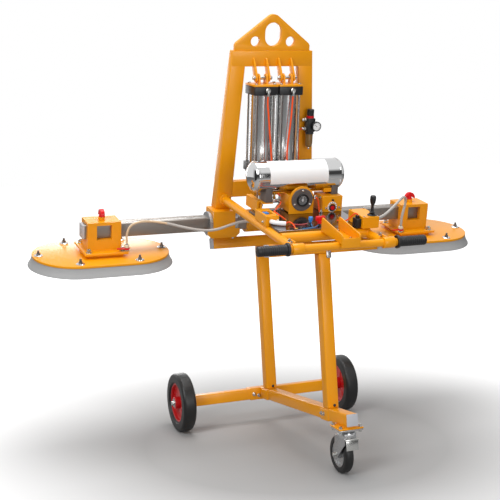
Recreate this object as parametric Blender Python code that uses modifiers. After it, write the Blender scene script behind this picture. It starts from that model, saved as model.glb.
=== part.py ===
"""Stone vacuum lifter resting on its three-wheeled trolley.

Two rubber-lipped suction pads slide on a square crossbar. Two air cylinders turn the crossbar
in housings at the foot of an A-shaped mast, so a slab picked up flat is stood on edge.
The scene is in metres with +Z up. The handle faces -Y, and X runs along the crossbar.
Sizes are in metres and angles in degrees until they are used.
"""
import math

import bmesh
import bpy
from mathutils import Vector

# Fits
SEAT = 0.0003                 # between pieces that rest on each other
RUN = 0.0005                  # between a turning or sliding piece and its guide

# Trolley frame, leaning so that its front stands higher
TROLLEY_TILT = 6.48
TUBE = 0.048                  # square tube of legs and beams
TUBE_WALL = 0.004
WHEEL_RADIUS = 0.130
WHEEL_WIDTH = 0.060
RIM_RADIUS = 0.086
HUB_RADIUS = 0.026
HUB_LENGTH = 0.070
TRACK = 0.792
AXLE_RADIUS = 0.010
HUB_CLEARANCE = 0.011         # between a hub and the end of the axle beam
BASE_BEAM_END = 0.897         # from the axle forward along the beam
BASE_BEAM_RISE = 0.005
REAR_LEG_Y = -0.082
FRONT_LEG_Y = -0.711
REAR_BEAM_TOP = 0.723         # above the axle, square to the base beam
FRONT_BEAM_TOP = 0.695
REST_BEAM_LENGTH = 0.480

# Caster
CASTER_Y = -0.841             # swivel axis, forward of the axle
CASTER_HEIGHT = 0.196
CASTER_RADIUS = 0.076
CASTER_WIDTH = 0.038
CASTER_RIM_RADIUS = 0.050
CASTER_TRAIL = 0.044
CASTER_PLATE = (0.104, 0.086, 0.006)
FORK_GAP = 0.048
FORK_SHEET = 0.004
PEDAL_RADIUS = 0.005
PEDAL_PLATE = (0.040, 0.0075, 0.0018)  # length, how far it leans forward, thickness
CROWN_FRONT, CROWN_BACK = 0.037, 0.052

# Lifter frame, measured from the middle of the pad plates' top, leaning forward
LIFTER_TILT = 9.98
LIFTER_Y = -0.0134
LIFTER_Z = 0.834

# Crossbar and its housings
BAR = 0.060
BAR_HALF_LENGTH = 0.830
BAR_HEIGHT = 0.098
BAR_WALL = 0.008
BAR_BORE = 0.020
JOURNAL_RADIUS = 0.0295
HOUSING_X = 0.205
HOUSING_TOP = (0.102, 0.100)  # width of the upper block, depth of the housing
HOUSING_FOOT_WIDTH = 0.148
HOUSING_LOW, HOUSING_SPLIT, HOUSING_HIGH = 0.040, 0.084, 0.160
HOUSING_CHAMFER = 0.018
COLLAR_RADIUS = 0.052
COLLAR_THICKNESS = 0.014

# Mast
MAST_FRONT = -0.006
MAST_TOP = 0.848
MAST_BEAM_HEIGHT = 0.067
UPRIGHT_TOP = (0.120, 0.187, 0.032)     # inner half width, outer half width, depth
UPRIGHT_FOOT = (0.163, 0.232, 0.060)
UPRIGHT_WALL = 0.006
TIE_LOW, TIE_HIGH, TIE_DEPTH = 0.210, 0.280, 0.040
LIFT_PLATE_HALF = 0.173
LIFT_PLATE_SHOULDER = 0.028
LIFT_PLATE_HEIGHT = 0.152
LIFT_PLATE_APEX = 0.020
LIFT_PLATE_THICKNESS = 0.020
HOOK_HOLE = (0.0375, 0.080, 0.056)      # radius, middles of the upper and of the lower arc
SIDE_HOLE = (0.021, 0.081, 0.038)       # radius, distance from the middle, height above the mast

# Tilting cylinders
CYLINDER_X = 0.0575
CYLINDER_PIN = (-0.038, 0.738)          # y and z of the pin under the mast's top beam
CYLINDER_CAP = 0.109
CAP_HEIGHT = 0.037
CAP_DROP = 0.033                        # from the pin down to the head cap
HEAD_PLATE = 0.008
BARREL_RADIUS = 0.046
BARREL_WALL = 0.003
BARREL_LENGTH = 0.292
ROD_RADIUS = 0.0125
PISTON_HEIGHT = 0.020
TIE_ROD_RADIUS = 0.005
TIE_ROD_PITCH = 0.042
LUG_THICKNESS = 0.008
MAST_LUG_OFFSET = 0.029
HEAD_LUG_OFFSET = 0.018
LUG_RADIUS = 0.018
LUG_RISE = 0.083                        # top of a mast lug above the pin
PIN_RADIUS = 0.008
CRANK_RADIUS = 0.110
CRANK_START = 52.0                      # above the horizontal, at rest
CRANK_SHEET = 0.012
CRANK_EYE = 0.020
YOKE_RADIUS = 0.050
YOKE_HALF_LENGTH = 0.092
FORK_CHEEK = 0.008
FORK_SLOT = 0.060                       # from the eye up to the bottom of the slot

# Suction pads
PAD_FROM_BAR_END = 0.088
PAD_HALF_LENGTH = 0.293
PAD_RADIUS = 0.185
PAD_SHEET = 0.010
SEAL_DEPTH = 0.040
SEAL_WIDTH = 0.030
SEAL_FLARE = 0.017
SLIDE_BOX = (0.144, 0.106)
SLIDE_BOX_TOP = 0.142
SLIDE_FLANGE = (0.185, 0.200, 0.010)
SLIDE_SPACER = (0.150, 0.160, 0.012)
SLIDE_WINDOW = (0.057, 0.056)
KNOB_BOSS = (0.0145, 0.012)
KNOB_HEIGHT = 0.033
KNOB_SPAN = 0.050
KNOB_WIDTH = 0.018
# Ends of the wings, foot of their round back and the hollow between them, above the screw
KNOB_TIP, KNOB_SHOULDER, KNOB_ARCH = 0.006, 0.008, 0.021
PORT_X, PORT_Y = 0.086, -0.090          # hose port on the flange, towards the mast and the front
PORT_RADIUS, PORT_HEIGHT = 0.008, 0.034
LEVER_LENGTH = 0.042

# Handle frame
SIDE_TUBE_X, SIDE_TUBE_Z, SIDE_TUBE_RADIUS = 0.192, 0.201, 0.018
FRONT_TUBE_Y, FRONT_TUBE_RADIUS = -0.625, 0.020
BOSS_RADIUS, BOSS_LENGTH = 0.027, 0.010
HANDLE_Y, HANDLE_Z, HANDLE_RADIUS = -0.784, 0.211, 0.015
SLEEVE_RADIUS, SLEEVE_FROM, SLEEVE_TO = 0.022, 0.170, 0.217
GRIP_RADIUS, GRIP_FROM, GRIP_TO = 0.020, 0.229, 0.358
GRIP_FLANGE_RADIUS, GRIP_FLANGE = 0.026, 0.010
DECK_BACK, DECK_THICKNESS = -0.285, 0.010

# Tank and instruments on the deck
TANK_Y, TANK_RADIUS, TANK_WALL = -0.310, 0.064, 0.003
TANK_STRAIGHT, TANK_DOME, TANK_PORT = 0.181, 0.032, 0.008
TANK_STEPS = 24
TANK_CLEARANCE = 0.083        # deck to the underside of the tank
POST_X, POST_WIDTH = (-0.135, 0.162), 0.029
POST_FRONT, POST_BACK = -0.361, -0.300
STRAP, STRAP_WIDTH = 0.005, 0.040
GAUGE_Y, GAUGE_Z = -0.387, 0.290
GAUGE_BRACKET_HALF, GAUGE_BRACKET_SHEET = 0.055, 0.006
GAUGE_RADIUS, GAUGE_THICKNESS = 0.047, 0.007
BEZEL_RADIUS, BEZEL_DEPTH, DIAL_RADIUS = 0.026, 0.010, 0.020
NEEDLE_PIN, NEEDLE_LENGTH = 0.0015, 0.016
CONTROL_BOX_X, CONTROL_BOX = 0.142, (0.092, 0.090, 0.068)
BUTTON_RADIUS, BUTTON_LENGTH, BUTTON_TRAVEL, BUTTON_Z = 0.009, 0.012, 0.004, 0.248
LEFT_BOX_X, LEFT_BOX_Y, LEFT_BOX = -0.178, -0.4465, (0.056, 0.117, 0.043)
LEFT_BOX_POCKET = (0.036, 0.060, 0.020)
LEFT_BOX_DROP = 0.037         # below the side tube's crown
LEFT_BOX_TOE = 0.020          # how far the lower part reaches under the deck
LEFT_BOX_CLEARANCE = 0.0025   # to the side tube and to the deck's cut-out
RIGHT_BOX_X, RIGHT_BOX_Y, RIGHT_BOX = 0.186, -0.585, (0.072, 0.130, 0.047)
STICK_X, STICK_Y, STICK_HEIGHT = 0.200, -0.625, 0.082
STICK_BALL = 0.008
KNOB_POSITION, VENT_POSITION = (-0.030, -0.545), (0.000, -0.570)
SIDE_BRACKET = (0.023, 0.123, 0.047)
SIDE_BRACKET_X, SIDE_BRACKET_Y = -0.1625, -0.2685
BRACKET_FLANGE = (-0.118, 0.004)      # its inner end and its thickness

# Air filter and pressure regulator on the right upright
REGULATOR_X, REGULATOR_Y = 0.182, -0.036
REGULATOR_BODY, REGULATOR_LOW, REGULATOR_HIGH = 0.036, 0.500, 0.560
REGULATOR_BOWL = (0.016, 0.072)
REGULATOR_KNOB = (0.0155, 0.028)
SMALL_GAUGE = (0.018, 0.021, 0.018)     # offset to the right, radius, thickness
SMALL_GAUGE_Z = 0.527

# Cradle over the handle bar
CRADLE_X, CRADLE_WIDTH, CRADLE_SHEET = 0.0155, 0.079, 0.005
CRADLE_BACK, CRADLE_FRONT = -0.632, -0.816
CRADLE_BACK_HEIGHT, CRADLE_FRONT_HEIGHT = 0.056, 0.036
CRADLE_NOSE, CRADLE_LIP = 0.022, 0.016

# Vacuum hoses
HOSE_RADIUS = 0.0075
HOSE_END_Y = -0.305
HOSE_END_X = 0.120
DECK_PORT_LENGTH = 0.020
VALVE_FOOT = 0.010
VALVE_FOOT_RADIUS = 0.005

CASTER_CROWN = 2 * CASTER_RADIUS + 0.004
AXLE_BEAM_LENGTH = TRACK - HUB_LENGTH - 2 * HUB_CLEARANCE
PAD_X = BAR_HALF_LENGTH - PAD_FROM_BAR_END
LIFTER_LEAN = math.radians(LIFTER_TILT)
TROLLEY_LEAN = math.radians(TROLLEY_TILT)
FRONT_TUBE_Z = HANDLE_Z + HANDLE_RADIUS - FRONT_TUBE_RADIUS
DECK_LOW = SIDE_TUBE_Z + SIDE_TUBE_RADIUS + SEAT
DECK_TOP = DECK_LOW + DECK_THICKNESS
DECK_FRONT = FRONT_TUBE_Y + FRONT_TUBE_RADIUS + SEAT
TANK_Z = DECK_TOP + TANK_CLEARANCE + TANK_RADIUS
STRAP_LOW = TANK_Z - TANK_RADIUS - SEAT - STRAP
CONTROL_BOX_TOP = DECK_TOP + SEAT + CONTROL_BOX[2]
BRACKET_TOP = DECK_TOP + SEAT + SIDE_BRACKET[2]
COLLAR_CLEAR = COLLAR_RADIUS + 0.001

MATERIALS = {
    "orange paint": ((0.78, 0.32, 0.01), 0.35, 0.0),
    "galvanised steel": ((0.45, 0.45, 0.45), 0.40, 0.9),
    "black tyre": ((0.02, 0.02, 0.02), 0.70, 0.0),
    "red plastic": ((0.55, 0.01, 0.02), 0.40, 0.0),
    "grey rubber": ((0.38, 0.38, 0.38), 0.65, 0.0),
    "black plastic": ((0.02, 0.02, 0.022), 0.45, 0.0),
    "polished steel": ((0.60, 0.60, 0.60), 0.08, 1.0),
    "dark steel": ((0.12, 0.12, 0.12), 0.15, 0.9),
    "aluminium": ((0.62, 0.62, 0.62), 0.22, 1.0),
    "blue plastic": ((0.01, 0.16, 0.70), 0.40, 0.0),
    "clear hose": ((0.60, 0.50, 0.38), 0.30, 0.0),
}


def clear_scene():
    """Remove every object of the scene that is open."""
    for item in list(bpy.data.objects):
        bpy.data.objects.remove(item, do_unlink=True)


def make_collection(name, hidden=False):
    """Add a collection to the scene."""
    group = bpy.data.collections.new(name)
    group.hide_render = hidden
    bpy.context.scene.collection.children.link(group)
    return group


def make_materials():
    """One Principled material for each finish."""
    made = {}
    for name, (colour, roughness, metallic) in MATERIALS.items():
        material = bpy.data.materials.new(name)
        material.use_nodes = True
        shader = material.node_tree.nodes["Principled BSDF"]
        shader.inputs["Base Color"].default_value = (*colour, 1.0)
        shader.inputs["Roughness"].default_value = roughness
        shader.inputs["Metallic"].default_value = metallic
        made[name] = material
    return made


def make_empty(name, location, rotation=(0.0, 0.0, 0.0), parent=None):
    """An empty that carries pieces, with its rotation in radians."""
    holder = bpy.data.objects.new(name, None)
    holder.location = location
    holder.rotation_euler = rotation
    holder.parent = parent
    PARTS.objects.link(holder)
    return holder


def smooth(mesh, angle=35.0):
    """Shade the mesh smooth, with edges over the angle kept sharp."""
    mesh.shade_smooth()
    mesh.set_sharp_from_angle(angle=math.radians(angle))


def place(mesh, parent, location=(0.0, 0.0, 0.0), rotation=(0.0, 0.0, 0.0)):
    """An unnamed solid in its parent's frame."""
    solid = bpy.data.objects.new("solid", mesh)
    solid.location = location
    solid.rotation_euler = rotation
    solid.parent = parent
    PARTS.objects.link(solid)
    return solid


def round_edges(solid, width, segments=1):
    """Bevel a solid's sharp edges."""
    bevel = solid.modifiers.new("rounded edges", "BEVEL")
    bevel.width = width
    bevel.segments = segments
    bevel.limit_method = "ANGLE"
    return solid


def block(parent, low, high, bevel=0.0):
    """A box between two corners in the parent's frame."""
    low, high = Vector(low), Vector(high)
    mesh = bpy.data.meshes.new("block")
    shape = bmesh.new()
    bmesh.ops.create_cube(shape, size=1.0)
    bmesh.ops.scale(shape, vec=high - low, verts=shape.verts)
    shape.to_mesh(mesh)
    shape.free()
    solid = place(mesh, parent, (low + high) / 2)
    return round_edges(solid, bevel) if bevel else solid


def upright_block(parent, foot, head):
    """A box whose foot and head are unlike rectangles (x from, x to, y from, y to, z)."""
    mesh = bpy.data.meshes.new("tapered block")
    shape = bmesh.new()
    bmesh.ops.create_cube(shape, size=2.0)
    for vertex in shape.verts:
        left, right, front, back, level = head if vertex.co.z > 0 else foot
        vertex.co = (right if vertex.co.x > 0 else left, back if vertex.co.y > 0 else front, level)
    shape.to_mesh(mesh)
    shape.free()
    return place(mesh, parent)


def rod(parent, start, end, radius, far_radius=None, sides=20):
    """A cylinder or cone between two points of the parent's frame."""
    start, end = Vector(start), Vector(end)
    mesh = bpy.data.meshes.new("rod")
    shape = bmesh.new()
    bmesh.ops.create_cone(shape, cap_ends=True, segments=sides, radius1=radius,
                          radius2=radius if far_radius is None else far_radius,
                          depth=(end - start).length)
    shape.to_mesh(mesh)
    shape.free()
    smooth(mesh)
    turn = (end - start).to_track_quat("Z", "Y").to_euler()
    return place(mesh, parent, (start + end) / 2, turn)


def turned(parent, profile, location, rotation=(0.0, 0.0, 0.0), steps=28, ring=False):
    """A turned solid from (radius, height) points that run down its outer side.

    A ring's profile closes on itself, and any other starts and ends on the axis.
    """
    mesh = bpy.data.meshes.new("turned")
    points = [(radius, 0.0, height) for radius, height in profile]
    edges = [(index, index + 1) for index in range(len(points) - 1)]
    if ring:
        edges.append((len(points) - 1, 0))
    mesh.from_pydata(points, edges, [])
    solid = place(mesh, parent, location, rotation)
    screw = solid.modifiers.new("turned", "SCREW")
    screw.steps = screw.render_steps = steps
    screw.use_merge_vertices = True
    screw.merge_threshold = 0.00005
    screw.use_smooth_shade = True
    return solid


ALONG_X = (0.0, math.pi / 2, 0.0)              # turns a +Z axis to +X
ALONG_FRONT = (math.pi / 2, 0.0, 0.0)          # turns a +Z axis to -Y
SIDE_VIEW = (math.pi / 2, 0.0, math.pi / 2)    # lays an (x, y) outline in the YZ plane


def arc(centre, radius, start, end, count):
    """Points on an arc, with its angles in degrees."""
    return [(centre[0] + radius * math.cos(math.radians(start + (end - start) * index / count)),
             centre[1] + radius * math.sin(math.radians(start + (end - start) * index / count)))
            for index in range(count + 1)]


def circle(centre, radius, count=16):
    """A closed ring of points."""
    return arc(centre, radius, 0, 360, count)[:-1]


def rectangle(width, height):
    """A rectangle about the origin."""
    return [(-width / 2, -height / 2), (width / 2, -height / 2),
            (width / 2, height / 2), (-width / 2, height / 2)]


def stadium(half_length, radius, count=16):
    """A straight-sided outline with half-round ends."""
    middle = half_length - radius
    return arc((middle, 0), radius, -90, 90, count) + arc((-middle, 0), radius, 90, 270, count)


def strap(first, first_radius, second, second_radius, count=8):
    """The outline around two circles and their outer tangents."""
    reach = math.hypot(second[0] - first[0], second[1] - first[1])
    heading = math.degrees(math.atan2(second[1] - first[1], second[0] - first[0]))
    spread = math.degrees(math.acos((first_radius - second_radius) / reach))
    return (arc(first, first_radius, heading + spread, heading + 360 - spread, count)
            + arc(second, second_radius, heading - spread, heading + spread, count))


def as_mesh(curve):
    """Replace a curve object by a mesh with its caps welded."""
    bpy.context.view_layer.update()
    view = bpy.context.evaluated_depsgraph_get()
    mesh = bpy.data.meshes.new_from_object(curve.evaluated_get(view))
    shape = bmesh.new()
    shape.from_mesh(mesh)
    bmesh.ops.remove_doubles(shape, verts=shape.verts, dist=0.00001)
    shape.to_mesh(mesh)
    shape.free()
    solid = place(mesh, curve.parent, curve.location, curve.rotation_euler)
    bpy.data.objects.remove(curve, do_unlink=True)
    return solid


def add_spline(curve, points):
    """Add one closed outline to a curve."""
    spline = curve.splines.new("POLY")
    spline.points.add(len(points) - 1)
    for point, (x, y) in zip(spline.points, points):
        point.co = (x, y, 0.0, 1.0)
    spline.use_cyclic_u = True


def sheet(parent, outlines, thickness, location, rotation=(0.0, 0.0, 0.0)):
    """A flat plate from its outline and the outlines of its holes."""
    curve = bpy.data.curves.new("sheet", "CURVE")
    curve.dimensions = "2D"
    curve.fill_mode = "BOTH"
    curve.extrude = thickness / 2
    for points in outlines:
        add_spline(curve, points)
    return as_mesh(place(curve, parent, location, rotation))


def square_tube(parent, size, wall, length, location, rotation=(0.0, 0.0, 0.0)):
    """A hollow square tube about its own +Z axis, open at both ends."""
    inside = size - 2 * wall
    return sheet(parent, [rectangle(size, size), rectangle(inside, inside)], length,
                 location, rotation)


def combine(body, tool, operation):
    """Join a tool to a body or cut it away, and put the tool with the hidden shapes."""
    step = body.modifiers.new(operation.lower(), "BOOLEAN")
    step.operation = operation
    step.solver = "EXACT"
    step.object = tool
    PARTS.objects.unlink(tool)
    CUTTERS.objects.link(tool)
    tool.hide_render = True
    tool.display_type = "WIRE"


def join(body, *others):
    """Weld other solids to a body."""
    for other in others:
        combine(body, other, "UNION")
    return body


def cut(body, *others):
    """Cut other solids out of a body."""
    for other in others:
        combine(body, other, "DIFFERENCE")
    return body


def finish(solid, name, material):
    """Give a finished piece its name and its material."""
    solid.name = name
    solid.data.name = name
    solid.data.materials.clear()
    solid.data.materials.append(FINISHES[material])
    return solid


def build_trolley(holder):
    """Base beam, axle beam, legs and the two beams that the lifter rests on."""
    base_y = -(BASE_BEAM_END + TUBE / 2 + SEAT) / 2
    base_length = BASE_BEAM_END - TUBE / 2 - SEAT
    base = square_tube(holder, TUBE, TUBE_WALL, base_length, (0, base_y, BASE_BEAM_RISE),
                       ALONG_FRONT)
    level = make_empty("caster_mount", (0, *trolley_point(CASTER_Y, CASTER_HEIGHT + SEAT)),
                       (TROLLEY_LEAN, 0, 0), holder)
    width, depth, sheet_height = CASTER_PLATE
    beam_low = (math.sin(TROLLEY_LEAN) * -CASTER_Y + WHEEL_RADIUS + BASE_BEAM_RISE - TUBE / 2
                - CASTER_HEIGHT)
    mount = block(level, (-width / 2, -depth / 2, 0), (width / 2, depth / 2, sheet_height))
    wedge = block(level, (-TUBE / 2 + TUBE_WALL / 2, -depth / 2 + TUBE_WALL, sheet_height / 2),
                  (TUBE / 2 - TUBE_WALL / 2, depth / 2 - TUBE_WALL,
                   max(beam_low, 0) + sheet_height + TUBE_WALL / 2))
    finish(join(base, mount, wedge), "base_beam", "orange paint")

    axle_beam = square_tube(holder, TUBE, TUBE_WALL, AXLE_BEAM_LENGTH, (0, 0, 0), ALONG_X)
    axle_half = TRACK / 2 + HUB_LENGTH / 2 + 0.012
    axle = rod(holder, (-axle_half, 0, 0), (axle_half, 0, 0), AXLE_RADIUS)
    join(axle_beam, axle)
    inside = TUBE / 2 - TUBE_WALL / 2
    for side in (-1, 1):
        near, far = sorted((side * AXLE_BEAM_LENGTH / 2, side * (AXLE_BEAM_LENGTH / 2 - 0.020)))
        join(axle_beam, block(holder, (near, -inside, -inside), (far, inside, inside)))
    cut(axle_beam, rod(holder, (0, 0, -TUBE), (0, 0, -AXLE_RADIUS - 0.003), AXLE_RADIUS / 2))
    finish(axle_beam, "axle_beam", "orange paint")

    base_top = BASE_BEAM_RISE + TUBE / 2
    for name, leg_y, top in (("rear", REAR_LEG_Y, REAR_BEAM_TOP),
                             ("front", FRONT_LEG_Y, FRONT_BEAM_TOP)):
        low, high = base_top + SEAT, top - TUBE - SEAT
        leg = square_tube(holder, TUBE, TUBE_WALL, high - low, (0, leg_y, (low + high) / 2))
        finish(leg, f"{name}_leg", "orange paint")
    rear = square_tube(holder, TUBE, TUBE_WALL, REST_BEAM_LENGTH,
                       (0, REAR_LEG_Y, REAR_BEAM_TOP - TUBE / 2), ALONG_X)
    front = square_tube(holder, TUBE, TUBE_WALL, REST_BEAM_LENGTH,
                        (0, FRONT_LEG_Y, FRONT_BEAM_TOP - TUBE / 2), ALONG_X)
    return rear, front


def trolley_point(y, z):
    """A point of the floor's frame (measured from the axle) in the leaning trolley's frame."""
    height = z - WHEEL_RADIUS
    return (y * math.cos(TROLLEY_LEAN) - height * math.sin(TROLLEY_LEAN),
            y * math.sin(TROLLEY_LEAN) + height * math.cos(TROLLEY_LEAN))


def build_rests(rear, front, lifter):
    """Blocks on the trolley's beams, with their tops along the lifter's own slope."""
    for side in (-1, 1):
        middle = side * HOUSING_X
        rest = block(lifter, (middle - 0.030, -0.004, 0.006),
                     (middle + 0.030, 0.032, HOUSING_LOW - SEAT))
        join(rear, rest)
        middle = side * (SIDE_TUBE_X - 0.040)
        rest = block(lifter, (middle - 0.020, FRONT_TUBE_Y + 0.008, 0.160),
                     (middle + 0.020, FRONT_TUBE_Y + 0.040, FRONT_TUBE_Z - 0.012))
        seat = rod(lifter, (middle - 0.030, FRONT_TUBE_Y, FRONT_TUBE_Z),
                   (middle + 0.030, FRONT_TUBE_Y, FRONT_TUBE_Z), FRONT_TUBE_RADIUS + SEAT)
        join(front, rest)
        cut(front, seat)
    finish(rear, "rear_rest_beam", "orange paint")
    finish(front, "front_rest_beam", "orange paint")


def build_wheel(name, holder):
    """Tyre and rim of one trolley wheel, turned about the axle."""
    half = WHEEL_WIDTH / 2
    tread = arc((WHEEL_RADIUS - 0.014, half - 0.012), 0.012, 90, 10, 2)
    tread += [(WHEEL_RADIUS, half * 0.5), (WHEEL_RADIUS, -half * 0.5)]
    tread += arc((WHEEL_RADIUS - 0.014, -half + 0.012), 0.012, -10, -90, 2)
    bead = RIM_RADIUS + SEAT
    profile = [(bead, half - 0.006), *tread, (bead, -half + 0.006)]
    finish(turned(holder, profile, (0, 0, 0), ALONG_X, 30, ring=True), f"{name}_tyre", "black tyre")

    web = 0.006
    lip = half - 0.008
    hub = HUB_LENGTH / 2
    bore = AXLE_RADIUS + RUN
    side = [(bore, hub), (HUB_RADIUS, hub), (HUB_RADIUS, web), (RIM_RADIUS - 0.006, web),
            (RIM_RADIUS - 0.005, lip), (RIM_RADIUS, lip)]
    mirrored = [(radius, -height) for radius, height in reversed(side)]
    finish(turned(holder, side + mirrored, (0, 0, 0), ALONG_X, 30, ring=True),
           f"{name}_rim", "red plastic")


def build_caster(floor, swivel, wheel, hinge):
    """Top plate, swivelling fork, wheel and brake pedal, standing upright on the floor."""
    width, depth, height = CASTER_PLATE
    under = CASTER_HEIGHT - height
    plate = block(floor, (-width / 2, CASTER_Y - depth / 2, under),
                  (width / 2, CASTER_Y + depth / 2, CASTER_HEIGHT), 0.002)
    race = rod(floor, (0, CASTER_Y, under - 0.010), (0, CASTER_Y, under + 0.002),
               0.030, 0.036)
    finish(join(plate, race), "caster_top_plate", "galvanised steel")

    crown_top = under - 0.010 - RUN
    crown = CASTER_CROWN
    outer = FORK_GAP / 2 + FORK_SHEET
    fork = block(swivel, (-outer - 0.001, -CROWN_FRONT, crown),
                 (outer + 0.001, CROWN_BACK, crown + FORK_SHEET))
    bearing = rod(swivel, (0, 0, crown + 0.001), (0, 0, crown_top), 0.035, 0.032)
    join(fork, bearing)
    for side in (-1, 1):
        front = 0.001 - CROWN_FRONT
        cheek_outline = [(front, crown + FORK_SHEET / 2), (front, crown - 0.020),
                         *arc((CASTER_TRAIL, CASTER_RADIUS), 0.016, 180, 360, 8),
                         (CROWN_BACK - 0.001, crown - 0.020),
                         (CROWN_BACK - 0.001, crown + FORK_SHEET / 2)]
        cheek = sheet(swivel, [cheek_outline], FORK_SHEET,
                      (side * (outer - FORK_SHEET / 2), 0, 0), SIDE_VIEW)
        join(fork, cheek)
    bolt_half = outer + 0.006
    bolt = rod(swivel, (-bolt_half, CASTER_TRAIL, CASTER_RADIUS),
               (bolt_half, CASTER_TRAIL, CASTER_RADIUS), 0.006, sides=16)
    finish(join(fork, bolt), "caster_fork", "galvanised steel")

    half = CASTER_WIDTH / 2
    bead = CASTER_RIM_RADIUS + SEAT
    tread = arc((CASTER_RADIUS - 0.012, half - 0.012), 0.012, 90, 0, 2)
    tread += arc((CASTER_RADIUS - 0.012, -half + 0.012), 0.012, 0, -90, 2)
    finish(turned(wheel, [(bead, half), *tread, (bead, -half)], (0, 0, 0), ALONG_X, ring=True),
           "caster_tyre", "black tyre")
    hub = FORK_GAP / 2 - RUN
    side = [(0.006 + RUN, hub), (0.016, hub), (0.016, 0.006), (CASTER_RIM_RADIUS - 0.008, 0.006),
            (CASTER_RIM_RADIUS - 0.006, half - 0.003), (CASTER_RIM_RADIUS, half - 0.003)]
    mirrored = [(radius, -height) for radius, height in reversed(side)]
    finish(turned(wheel, side + mirrored, (0, 0, 0), ALONG_X, ring=True),
           "caster_rim", "galvanised steel")

    length, lean, thickness = PEDAL_PLATE
    half_width = FORK_GAP / 2 + FORK_SHEET / 2
    outline = [(0, 0.003), (-0.003, 0.003), (-lean - thickness, -length), (-lean, -length), (0, -0.003)]
    tongue = sheet(hinge, [outline], 2 * half_width, (0, 0, 0), SIDE_VIEW)
    barrel = rod(hinge, (-outer, 0, 0), (outer, 0, 0), PEDAL_RADIUS, sides=16)
    finish(join(barrel, tongue), "caster_brake_pedal", "galvanised steel")


def build_mast(lifter):
    """A-shaped frame with its tie, the lugs for the cylinders and their pins, and the hook plate."""
    foot_level = HOUSING_HIGH + SEAT
    frame = block(lifter, (-UPRIGHT_TOP[1], MAST_FRONT, MAST_TOP - MAST_BEAM_HEIGHT),
                  (UPRIGHT_TOP[1], MAST_FRONT + UPRIGHT_TOP[2], MAST_TOP))
    hollows = []
    for side in (-1, 1):
        ends, inside = [], []
        for (inner, outer, depth), level in ((UPRIGHT_FOOT, foot_level), (UPRIGHT_TOP, MAST_TOP)):
            left, right = sorted((side * inner, side * outer))
            front, back = MAST_FRONT, MAST_FRONT + depth
            wall = UPRIGHT_WALL
            ends.append((left, right, front, back, level))
            drop = -0.010 if level == foot_level else -wall
            inside.append((left + wall, right - wall, front + wall, back - wall, level + drop))
        join(frame, upright_block(lifter, *ends))
        hollows.append(upright_block(lifter, *inside))
    tie_half = UPRIGHT_FOOT[0]
    join(frame, block(lifter, (-tie_half, MAST_FRONT + 0.002, TIE_LOW),
                      (tie_half, MAST_FRONT + TIE_DEPTH, TIE_HIGH)))
    cut(frame, *hollows)
    pin_y, pin_z = CYLINDER_PIN
    for side in (-1, 1):
        middle = side * CYLINDER_X
        for offset in (-MAST_LUG_OFFSET, MAST_LUG_OFFSET):
            outline = strap((pin_y, pin_z), LUG_RADIUS,
                            (MAST_FRONT + 0.004, pin_z + LUG_RISE - 0.016), 0.014)
            join(frame, sheet(lifter, [outline], LUG_THICKNESS, (middle + offset, 0, 0), SIDE_VIEW))
        reach = MAST_LUG_OFFSET + LUG_THICKNESS / 2 + 0.006
        join(frame, rod(lifter, (middle - reach, pin_y, pin_z), (middle + reach, pin_y, pin_z),
                        PIN_RADIUS, sides=16))
    finish(frame, "mast_frame", "orange paint")

    shoulder, apex, top = LIFT_PLATE_SHOULDER, LIFT_PLATE_APEX, LIFT_PLATE_HEIGHT
    outline = [(-LIFT_PLATE_HALF, 0), (LIFT_PLATE_HALF, 0), (LIFT_PLATE_HALF, shoulder - 0.006),
               (LIFT_PLATE_HALF - 0.006, shoulder + 0.004),
               *arc((0, top - 0.034), 0.034, 50, 130, 8),
               (-LIFT_PLATE_HALF + 0.006, shoulder + 0.004), (-LIFT_PLATE_HALF, shoulder - 0.006)]
    radius, upper, lower = HOOK_HOLE
    hook = arc((0, upper), radius, 0, 180, 12) + arc((0, lower), radius, 180, 360, 12)
    holes = [hook] + [circle((side * SIDE_HOLE[1], SIDE_HOLE[2]), SIDE_HOLE[0]) for side in (-1, 1)]
    plate = sheet(lifter, [outline, *holes], LIFT_PLATE_THICKNESS,
                  (0, MAST_FRONT + 0.004 + LIFT_PLATE_THICKNESS / 2, MAST_TOP + SEAT), ALONG_FRONT)
    finish(plate, "lifting_plate", "orange paint")


def build_housing(name, side, lifter):
    """Split block that the crossbar's journal turns in, with room for a collar at each face."""
    middle = side * HOUSING_X
    width, depth = HOUSING_TOP
    body = block(lifter, (middle - width / 2, -depth / 2, HOUSING_SPLIT),
                 (middle + width / 2, depth / 2, HOUSING_HIGH), 0.003)
    half = HOUSING_FOOT_WIDTH / 2
    rise = HOUSING_CHAMFER
    foot = [(-half, HOUSING_LOW + rise), (-half + rise, HOUSING_LOW), (half - rise, HOUSING_LOW),
            (half, HOUSING_LOW + rise), (half, HOUSING_SPLIT + 0.002),
            (-half, HOUSING_SPLIT + 0.002)]
    join(body, sheet(lifter, [foot], depth, (middle, 0, 0), ALONG_FRONT))
    bore = rod(lifter, (middle - half, 0, BAR_HEIGHT), (middle + half, 0, BAR_HEIGHT),
               JOURNAL_RADIUS + RUN, sides=28)
    cut(body, bore)
    for face in (-1, 1):
        start = middle + face * width / 2
        cut(body, rod(lifter, (start, 0, BAR_HEIGHT), (start + face * width, 0, BAR_HEIGHT),
                      COLLAR_CLEAR, sides=28))
    finish(body, name, "orange paint")


def crank_pin():
    """Rod pin of the crank at rest, in the lifter's frame."""
    start = math.radians(CRANK_START)
    return (-CRANK_RADIUS * math.cos(start), BAR_HEIGHT + CRANK_RADIUS * math.sin(start))


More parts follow.
